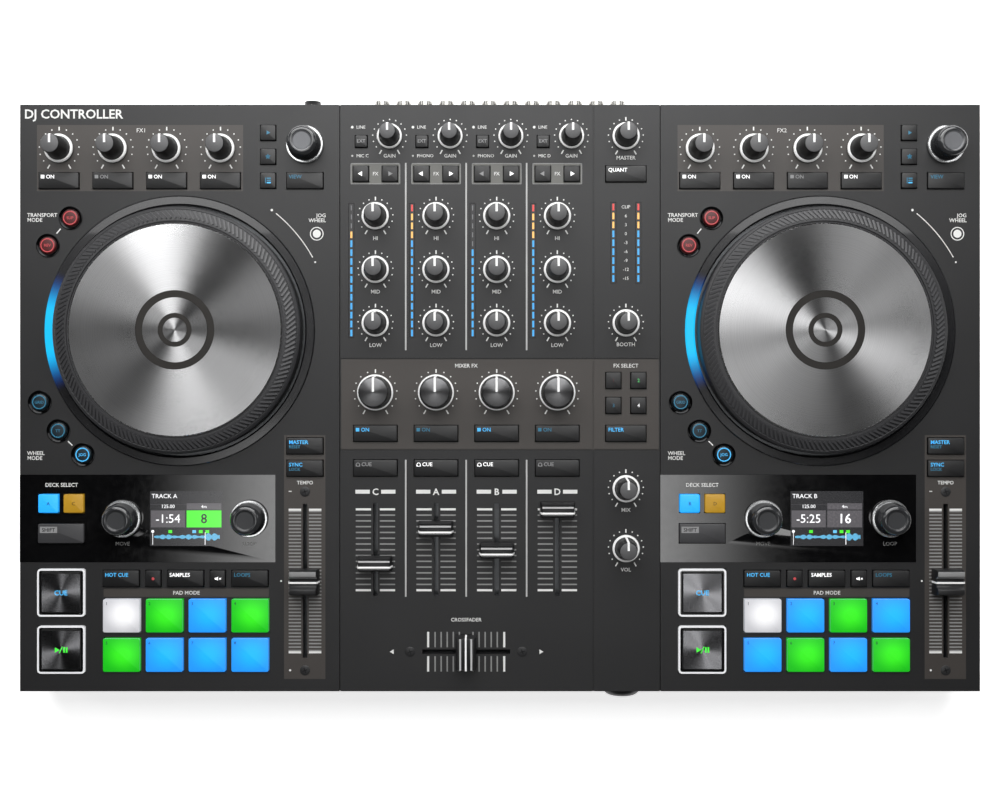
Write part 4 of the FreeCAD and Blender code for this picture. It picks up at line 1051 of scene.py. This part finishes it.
# the cap's side view: places along the travel as shares of half its length, heights as shares
SHAPES = {
    "channel": [(-1, 0), (1, 0), (1, 0.55), (0.72, 0.92), (0.5, 0.86), (-0.5, 0.86), (-0.72, 0.92), (-1, 0.55)],
    "cross": [
        (-1, 0), (1, 0), (1, 0.5), (0.8, 0.88), (0.35, 0.86), (0, 0.97), (-0.35, 0.86), (-0.8, 0.88), (-1, 0.5)
    ],
    "tempo": [
        (-1, 0), (1, 0), (1, 0.6), (0.86, 0.97), (0.5, 0.97), (0.3, 0.7), (-0.3, 0.7), (-0.5, 0.97),
        (-0.86, 0.97), (-1, 0.6),
    ],
}
for node, kind in FADERS.items():
    low, high = corners_of(node)
    x, y = over(low, high)
    size = high - low
    along_x = kind == "cross"
    travel, across = (size.x, size.y) if along_x else (size.y, size.x)
    height = high.z - CAP_FOOT
    bm = bmesh.new()
    # drawn with the travel along Y, then turned for the crossfader
    outline = [(share * travel / 2, CAP_FOOT + rise * height) for share, rise in SHAPES[kind]]
    face = bm.faces.new([bm.verts.new((-across / 2, run, rise)) for run, rise in outline])
    side = bmesh.ops.extrude_face_region(bm, geom=[face])["geom"]
    bmesh.ops.translate(bm, vec=(across, 0, 0), verts=[v for v in side if isinstance(v, bmesh.types.BMVert)])
    for vert in bm.verts:
        vert.co.x *= 1 - 0.13 * (vert.co.z - CAP_FOOT) / height
    bmesh.ops.bevel(
        bm, geom=list(bm.edges), offset=0.3, offset_type="OFFSET", segments=2, profile=0.5, affect="EDGES",
        material=-1,
    )
    if kind == "tempo":
        for face in bm.faces:
            centre = face.calc_center_median()
            if centre.y > travel * 0.2 and centre.z > CAP_FOOT + 0.8 * height:
                face.material_index = 1
    ridge = CAP_FOOT + height * {"channel": 0.86, "cross": 0.9, "tempo": 0.7}[kind]
    lines = {
        "channel": [(-1.55, 2), (1.55, 3)],
        "cross": [(-3.0, 3), (0.0, 2), (3.0, 3)],
        "tempo": [(0.0, 2), (2.6, 3)],
    }[kind]
    for run, shade in lines:
        lift = 0.55 if kind == "cross" and run == 0 else 0.12
        length = across * 0.885
        box(bm, 0, run, ridge - 0.3, length, 0.95, 0.3 + lift, material=shade)
        if shade == 2:
            # the bright line goes over the edges and down both sides
            for sign in (-1, 1):
                side_x = sign * across / 2 * 0.945
                made = box(bm, side_x, run, CAP_FOOT + 0.6, 0.35, 0.95, ridge - CAP_FOOT - 0.5, material=2)
                for vert in made:
                    vert.co.x -= sign * 0.105 * across * ((vert.co.z - CAP_FOOT) / height - 0.45) / 2 - sign * 0.1
    STEM = (1.4, 4.6)
    box(bm, 0, 0, low.z, *STEM, CAP_FOOT - low.z + 0.5, material=4)
    if along_x:
        bmesh.ops.rotate(bm, verts=bm.verts, cent=(0, 0, 0), matrix=Matrix.Rotation(-math.pi / 2, 3, "Z"))
    bmesh.ops.translate(bm, vec=(x, y, 0), verts=bm.verts)
    # the white marker lines glow a little: painted brightening, not a lamp
    cap = make(f"{node}_cap", bm, cap_black, cap_grey, pointer_white_painted_glow, line_grey, stem_steel)
    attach(cap, node)
    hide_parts(node)


# ---------------------------------------------------------------- keys
# Keys are black moulded caps over tact switches, with softened edges. Their legends are lamps behind the
# cap, bright where the function is on and dim where it is off.

KEY_FINISHES = [
    finish(name, code, roughness, scale=scale, variation=variation, glow=glow)
    for name, code, roughness, scale, variation, glow in (
        ("key_black", "171718", 0.42, 1600.0, 0.2, 0.0), ("white_lamp", "f2f2f2", 0.4, 900.0, 0.04, 0.7),
        ("dim_lamp", "8b8b8c", 0.4, 900.0, 0.05, 0.1), ("blue_lamp", "41a4dc", 0.4, 900.0, 0.05, 0.7),
        ("dim_blue_lamp", "2c6f8c", 0.4, 900.0, 0.05, 0.25), ("red_cap", "4d1517", 0.35, 1200.0, 0.1, 0.12),
        ("red_lamp", "b04044", 0.35, 900.0, 0.05, 0.4), ("teal_cap", "10222b", 0.35, 1200.0, 0.1, 0.1),
        ("amber_cap", "a8801f", 0.35, 1200.0, 0.1, 0.35), ("blue_cap", "25a0f4", 0.35, 1200.0, 0.1, 0.6),
        ("green_lamp", "4cb564", 0.35, 900.0, 0.05, 0.5), ("key_grey", "3b3b3d", 0.4, 1600.0, 0.15, 0.0),
    )
]
BLACK, WHITE, DIM, BLUE, DIM_BLUE, RED_CAP, RED, TEAL_CAP, AMBER_CAP, BLUE_CAP, GREEN, STEEL = range(12)
MARGIN, LEGEND = 1.3, 2.0


def key_cap(bm, low, high, material=BLACK, corner=0.8):
    """A closed cap with rounded corners and a softened top edge."""
    edges = rounded_plate(bm, low, high, corner, material)
    bmesh.ops.bevel(
        bm, geom=edges, offset=0.35, offset_type="OFFSET", segments=2, profile=0.5, affect="EDGES", material=-1
    )


def label(bm, low, high, text, material, line=0, cap=LEGEND):
    """Words in the rear left corner of a key."""
    words(bm, text, low.x + MARGIN, high.y - MARGIN - cap - line * 2.7, high.z, cap, bold=0.04, material=material)


def switch_mark(bm, low, high, material):
    """A lit square and the word ON."""
    box(bm, low.x + MARGIN + 1.0, high.y - MARGIN - 1.0, high.z, 1.9, 1.9, INK, material=material)
    words(bm, "ON", low.x + MARGIN + 2.8, high.y - MARGIN - LEGEND, high.z, LEGEND, bold=0.04, material=material)


def round_cap(bm, low, high, face, ring, text):
    """A round coloured cap with a lit ring round its word."""
    x, y = over(low, high)
    radius = (high.x - low.x) / 2
    turned(
        bm,
        [
            (0, low.z), (radius, low.z), (radius, high.z - 0.5), (radius - 0.4, high.z - 0.1),
            (radius - 0.9, high.z), (0, high.z),
        ],
        x, y, steps=40, material=face,
    )
    hoop(bm, x, y, high.z, radius * 0.72, radius * 0.84, steps=40, material=ring)
    words(bm, text, x, y - 0.75, high.z, 1.5, "CENTER", bold=0.02, material=ring)


DECK_LETTERS = {"left": ("A", "C"), "right": ("B", "D")}
EFFECTS_ON = {"left": (1, 0, 1, 1), "right": (1, 1, 0, 1)}
KEY_WORDS = (
    "tracks", "favourites", "fx_1", "fx_2", "fx_3", "fx_4", "list", "view", "slip", "reverse", "grid", "table",
    "master", "wheel", "sync", "deck_1", "deck_2", "shift", "hot", "record", "samples", "mute", "loops", "cue", "play",
)
# cap and lamp colours of the round keys, and their words
ROUND_KEYS = {
    "slip": (RED_CAP, RED, "SLIP"), "reverse": (RED_CAP, RED, "REV"), "grid": (TEAL_CAP, DIM_BLUE, "GRID"),
    "table": (TEAL_CAP, DIM_BLUE, "TT"), "wheel": (TEAL_CAP, BLUE, "JOG"),
}
START_KEYS = ("cue", "play")
COLOURED = {"deck_1": BLUE_CAP, "deck_2": AMBER_CAP, "shift": STEEL}

for side in ("left", "right"):
    node = f"{side}_deck_buttons"
    bm = bmesh.new()
    named = dict(zip(KEY_WORDS, solids_of(node)))
    for word, (low, high) in named.items():
        if word in ROUND_KEYS:
            round_cap(bm, low, high, *ROUND_KEYS[word])
        elif word not in START_KEYS:
            key_cap(bm, low, high, COLOURED.get(word, BLACK))
    for n, lit in enumerate(EFFECTS_ON[side], start=1):
        switch_mark(bm, *named[f"fx_{n}"], WHITE if lit else DIM)
    for word, text, shade, line, cap in (
        ("view", "VIEW", DIM_BLUE, 0, LEGEND), ("master", "MASTER", BLUE, 0, LEGEND),
        ("master", "RESET", DIM_BLUE, 1, 1.6), ("sync", "SYNC", BLUE, 0, LEGEND), ("sync", "LOCK", DIM_BLUE, 1, 1.6),
        ("hot", "HOT CUE", BLUE, 0, LEGEND), ("samples", "SAMPLES", WHITE, 0, LEGEND),
        ("loops", "LOOPS", DIM_BLUE, 0, LEGEND),
    ):
        label(bm, *named[word], text, shade, line, cap)
    for word, letter in zip(("deck_1", "deck_2"), DECK_LETTERS[side]):
        x, y = over(*named[word])
        words(bm, letter, x, y - 0.9, named[word][1].z, 1.8, "CENTER")
    # small pictures: a pointer, a star, a list, a record spot and a crossed-out loudspeaker
    z = named["tracks"][1].z
    arrow(bm, *over(*named["tracks"]), z, 1.3, 0, DIM_BLUE)
    x, y = over(*named["favourites"])
    for n in range(5):
        turn = math.pi / 2 + n * math.radians(72)
        arrow(bm, x + 0.75 * math.cos(turn), y + 0.75 * math.sin(turn), z, 0.75, turn, DIM_BLUE)
    dot(bm, x, y, z, 0.62, DIM_BLUE)
    x, y = over(*named["list"])
    box(bm, x - 1.3, y, z, 0.45, 3.2, INK, material=DIM_BLUE)
    for n in range(3):
        box(bm, x + 0.5, y + 1.2 - 1.2 * n, z, 2.2, 0.7, INK, material=BLUE if n == 2 else DIM_BLUE)
    dot(bm, *over(*named["record"]), z, 0.8, RED)
    x, y = over(*named["mute"])
    arrow(bm, x - 0.3, y, z, 1.2, math.pi, WHITE)
    box(bm, x - 1.0, y, z, 0.9, 0.9, INK, material=WHITE)
    for turn in (math.pi / 4, -math.pi / 4):
        box(bm, x + 1.4, y, z, 1.4, 0.3, INK, turn, WHITE)
    low, high = named["shift"]
    x, y = low.x + 5.8, high.y - 3.2
    box(bm, x, y, z, 9.4, 3.4, INK, material=DIM)
    words(bm, "SHIFT", x, y - 1.0, z + INK, 2.0, "CENTER", bold=0.04)
    caps = make(f"{side}_deck_keys", bm, *KEY_FINISHES)
    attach(caps, node)
    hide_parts(node)

    # the cue and play keys have a spun metal face with a lamp in its middle
    for word in START_KEYS:
        low, high = named[word]
        x, y = over(low, high)
        bm = bmesh.new()
        key_cap(bm, low, high, corner=1.2)
        bm.normal_update()
        top = [f for f in bm.faces if f.normal.z > 0.99 and f.calc_center_median().z > high.z - 0.01]
        face = max(top, key=lambda f: f.calc_area())
        bmesh.ops.inset_region(bm, faces=[face], thickness=0.5, depth=0.0, use_even_offset=True)
        face.material_index = 1
        metal = spun(f"{side}_{word}_metal", "98989b", 0.26, 0.93, x, y)
        cap = make(f"{side}_{word}_cap", bm, KEY_FINISHES[BLACK], metal)
        fans[side].objects.link(cap)
        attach(cap, node)
        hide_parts(node)
        bm = bmesh.new()
        if word == "cue":
            words(bm, "CUE", x, y - 1.3, high.z, 2.6, "CENTER", bold=0.06)
        else:
            arrow(bm, x - 2.4, y, high.z, 1.7, 0, 1)
            box(bm, x, y, high.z, 0.5, 4.0, INK, math.radians(-25), 1)
            for at in (1.8, 3.2):
                box(bm, x + at, y, high.z, 0.9, 3.0, INK, material=1)
        green = finish(f"{side}_{word}_green", "3fd53a", 0.4, scale=900.0, glow=0.8)
        legend = make(f"{side}_{word}_legend", bm, KEY_FINISHES[BLUE], green)
        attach(legend, node)

    # polished collars sunk round the holes of the round keys
    bm = bmesh.new()
    for word in ROUND_KEYS:
        x, y = over(*named[word])
        turned(
            bm,
            [
                (4.95, PLATE_TOP), (6.4, PLATE_TOP), (6.4, PLATE_TOP + 0.55), (6.1, PLATE_TOP + 0.6),
                (5.1, PLATE_TOP + 0.1), (4.95, PLATE_TOP),
            ],
            x, y, steps=48,
        )
    collar_black = finish(f"{side}_collar_black", "151516", 0.12, scale=900.0, depth=0.0, metallic=0.8)
    collars = make(f"{side}_round_key_collars", bm, collar_black)
    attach(collars, "case")

# the studio's common lamps leave the turned faces to their own soft boxes
spared = bpy.data.collections.new("turned_faces")
for group in fans.values():
    for thing in group.objects:
        spared.objects.link(thing)
for entry in spared.collection_objects:
    entry.light_linking.link_state = "EXCLUDE"
for light in lamps:
    light.light_linking.receiver_collection = spared

bm = bmesh.new()
keys = solids_of("mixer_buttons")
for low, high in keys:
    key_cap(bm, low, high)
inputs, assigns, selects, filters, cues = keys[:4], keys[4:13], keys[13:17], keys[17:22], keys[22:]
for low, high in inputs:
    x, y = over(low, high)
    words(bm, "EXT", x, y - 0.7, high.z, 1.8, "CENTER", bold=0.03, material=DIM)
for n, (low, high) in enumerate(assigns[:8]):
    lit = DIM if n in (1, 4, 6) else WHITE
    arrow(bm, *over(low, high), high.z, 1.5, 0 if n % 2 else math.pi, lit)
label(bm, *assigns[8], "QUANT", WHITE)
for n, ((low, high), shade) in enumerate(zip(selects, (RED_CAP, GREEN, DIM_BLUE, WHITE)), start=1):
    x, y = over(low, high)
    words(bm, str(n), x, y - 0.9, high.z, 1.9, "CENTER", material=shade)
for n, (low, high) in enumerate(filters[:4]):
    switch_mark(bm, low, high, DIM_BLUE if n % 2 else BLUE)
label(bm, *filters[4], "FILTER", BLUE)
for n, (low, high) in enumerate(cues):
    shade = WHITE if n in (1, 2) else DIM
    x, y = low.x + MARGIN + 1.2, high.y - MARGIN - 1.2
    hoop(bm, x, y, high.z, 0.75, 1.1, steps=20, material=shade)
    for sign in (-1, 1):
        box(bm, x + sign * 0.95, y - 0.5, high.z + INK, 0.5, 1.0, INK, material=shade)
    words(bm, "CUE", low.x + MARGIN + 3.1, high.y - MARGIN - LEGEND, high.z, LEGEND, bold=0.04, material=shade)
caps = make("mixer_keys", bm, *KEY_FINISHES)
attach(caps, "mixer_buttons")
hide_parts("mixer_buttons")


# ---------------------------------------------------------------- pads
# Sixteen silicone pads light up from below, brightest over the lamp and duller towards the edge, with
# a paler rim where the rubber is thinner. A small number stands in the corner of each.

pad_light, given, sent = node_group(
    "pad_light",
    [("Middle", "Color", (1, 1, 1, 1)), ("Outside", "Color", (0.5, 0.5, 0.5, 1))],
    [("Colour", "Color")],
)
where = pad_light.nodes.new("ShaderNodeUVMap")
where.uv_map = "pad"
from_lamp = pad_light.nodes.new("ShaderNodeVectorMath")
from_lamp.operation = "DISTANCE"
from_lamp.inputs[1].default_value = (0.55, 0.52, 0)
pad_light.links.new(where.outputs["UV"], from_lamp.inputs[0])
spread = ramp(pad_light, from_lamp.outputs["Value"], 0.62, 0.05)
pad_light.links.new(mix(pad_light, spread, given["Outside"], given["Middle"]), sent["Colour"])


def lit_silicone(name, middle_code, outside_code):
    """Translucent rubber over a lamp."""
    material = finish(name, outside_code, 0.5, scale=1500.0, variation=0.06, depth=0.02)
    tree = material.node_tree
    lit = group_node(tree, pad_light, {"Middle": tone(middle_code), "Outside": tone(outside_code)})
    shader = tree.nodes["Principled BSDF"]
    tree.links.new(lit.outputs["Colour"], shader.inputs["Emission Color"])
    shader.inputs["Emission Strength"].default_value = 0.75
    return material


PAD_FINISHES = (
    lit_silicone("pad_white", "ffffff", "a9a9ad"),
    lit_silicone("pad_green", "3ff01c", "0fa311"),
    lit_silicone("pad_blue", "06b4ff", "1b83dd"),
    finish("pad_rim", "9fb3c4", 0.5, scale=1500.0, variation=0.06, glow=0.1),
    finish("pad_number", "20303c", 0.5, scale=1500.0, variation=0.06),
)
# the colours of the two rows from left to right: white, green or blue
PAD_COLOURS = (0, 1, 2, 1, 0, 2, 1, 2, 1, 2, 2, 2, 2, 1, 2, 1)
bm = bmesh.new()
uv = bm.loops.layers.uv.new("pad")
for n, ((low, high), shade) in enumerate(zip(solids_of("performance_pads"), PAD_COLOURS)):
    before = set(bm.faces)
    key_cap(bm, low, high, shade, corner=1.0)
    bm.normal_update()
    for face in set(bm.faces) - before:
        if face.normal.z < 0.9 and face.calc_center_median().z > high.z - 0.4:
            face.material_index = 3
        for loop in face.loops:
            share = loop.vert.co - low
            loop[uv].uv = (share.x / (high.x - low.x), share.y / (high.y - low.y))
    number = n % 4 + 1 + 4 * (n // 8)
    words(bm, str(number), low.x + 1.5, high.y - 3.2, high.z, 1.6, material=4)
pads = make("performance_pad_caps", bm, *PAD_FINISHES)
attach(pads, "performance_pads")
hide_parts("performance_pads")


# ---------------------------------------------------------------- sockets
# Nickel phono sleeves with coloured insulators, jack sockets with black collars, two data sockets, a supply
# inlet and a ground post look out of the case walls; the headphone jack's domed collar is at the front.

nickel = finish("nickel", "b7b6b2", 0.22, scale=900.0, variation=0.06, depth=0.0, metallic=1.0)
socket_black = finish("socket_black", "1c1c1d", 0.4, scale=1500.0, variation=0.15, depth=0.02)
socket_red = finish("socket_red", "a32724", 0.4, scale=1500.0, variation=0.1)
socket_white = finish("socket_white", "dcdcda", 0.45, scale=1500.0, variation=0.06)
bm, found = islands("sockets")
ends = [extent(verts) for verts in found]
for face in bm.faces:
    face.material_index = 0
sockets = make("socket_bodies", bm, socket_black)
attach(sockets, "case")
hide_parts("sockets")

REAR = max(high.y for low, high in ends)
bm = bmesh.new()


def lying(bm, x, z, face_y, profile, outwards, steps=32, material=0):
    """Spins a (radius, distance) profile about an axis along Y, with distances outwards from face_y."""
    points = [(x + r, face_y + outwards * d, z) for r, d in profile]
    spin(bm, points, (x, 0, z), steps, material, axis=(0, 1, 0))


phono = [c for c in ends if c[1].x - c[0].x < 11 and c[1].y > REAR - 0.1 and c[1].z - c[0].z > 10]
phono.sort(key=lambda c: c[0].x)
for n, (low, high) in enumerate(phono):
    x, z = (low.x + high.x) / 2, (low.z + high.z) / 2
    lying(bm, x, z, high.y, [(3.3, -4.5), (4.2, -4.5), (4.2, 0.05), (3.9, 0.15), (3.3, 0.05)], 1, material=0)
    lying(bm, x, z, high.y, [(1.6, -0.2), (3.28, -0.2), (3.28, 0.06), (1.6, 0.06)], 1, material=2 - n % 2)
for low, high in ends:
    x, z = (low.x + high.x) / 2, (low.z + high.z) / 2
    if low.y < 0:
        lying(bm, x, z, low.y, [(3.2, -0.4), (4.3, -0.4), (4.3, 0.12), (3.9, 0.25), (3.2, 0.1)], -1)
    elif high.x - low.x > 14.5:
        lying(bm, x, z, high.y, [(3.2, -0.4), (6.2, -0.4), (6.2, 0.12), (5.8, 0.35), (3.2, 0.1)], 1)
    elif high.x - low.x < 9.5 and low.y > 100:
        lying(bm, x, z, high.y, [(1.5, -6.0), (4.52, -6.0), (4.6, -4.6), (4.4, 0.1), (1.5, 0.3)], 1, steps=24)
    elif 11.5 < high.x - low.x < 12.5 and high.y < REAR - 3:
        box(bm, x, high.y + 0.05, z - 2.2, 6.0, 0.2, 0.8, material=2)
trims = make("socket_trims", bm, nickel, socket_white, socket_red)
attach(trims, "case")


# ---------------------------------------------------------------- screws and feet
# Cross-head screws hold the tray from below and the fader tracks from above, all blackened; each cross is a thin
# dark sheet on the head, painted shade standing for the recess. Six round rubber feet with a dished sole stand under
# the corners and the middle of the long edges.

screw_black = finish("screw_black", "29292a", 0.42, scale=900.0, variation=0.1)
screw_cross_painted_shade = finish("screw_cross_painted_shade", "08080a", 0.6, scale=900.0, variation=0.05)
bm, found = islands("case_screws")
heads = [extent(verts) for verts in found]
clear_of(bm, found, lambda low, high: low.z < PLATE_TOP - 1)
for low, high in heads:
    x, y = over(low, high)
    radius = (high.x - low.x) / 2
    if low.z < PLATE_TOP - 1:
        # painted shade: a dark cross sheet under each tray screw stands for its recess
        for turn in (0, math.pi / 2):
            box(bm, x, y, low.z - 0.02, radius * 1.2, 0.8, 0.4, turn, 1)
        continue
    head = [(0, low.z), (radius, low.z), (radius, high.z - 0.2), (radius - 0.5, high.z), (0, high.z + 0.05)]
    turned(bm, head, x, y, steps=32)
    # painted shade: a dark cross sheet on the head stands for its recess
    for turn in (math.radians(20), math.radians(110)):
        box(bm, x, y, high.z, radius * 1.1, 0.6, 0.08, turn, 1)
screws = make("screws", bm, screw_black, screw_cross_painted_shade)
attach(screws, "case")
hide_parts("case_screws")

bm = bmesh.new()
for low, high in solids_of("rubber_feet"):
    x, y = over(low, high)
    radius = (high.x - low.x) / 2
    turned(
        bm,
        [
            (0, low.z + 0.6), (radius * 0.6, low.z + 0.5), (radius * 0.72, low.z), (radius - 0.8, low.z),
            (radius - 0.2, low.z + 0.5), (radius, low.z + 1.2), (radius, high.z), (0, high.z),
        ],
        x, y, steps=48,
    )
feet = make("feet", bm, finish("foot_rubber", "1f1f20", 0.7, scale=1200.0, variation=0.2, depth=0.04))
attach(feet, "case")
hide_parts("rubber_feet")
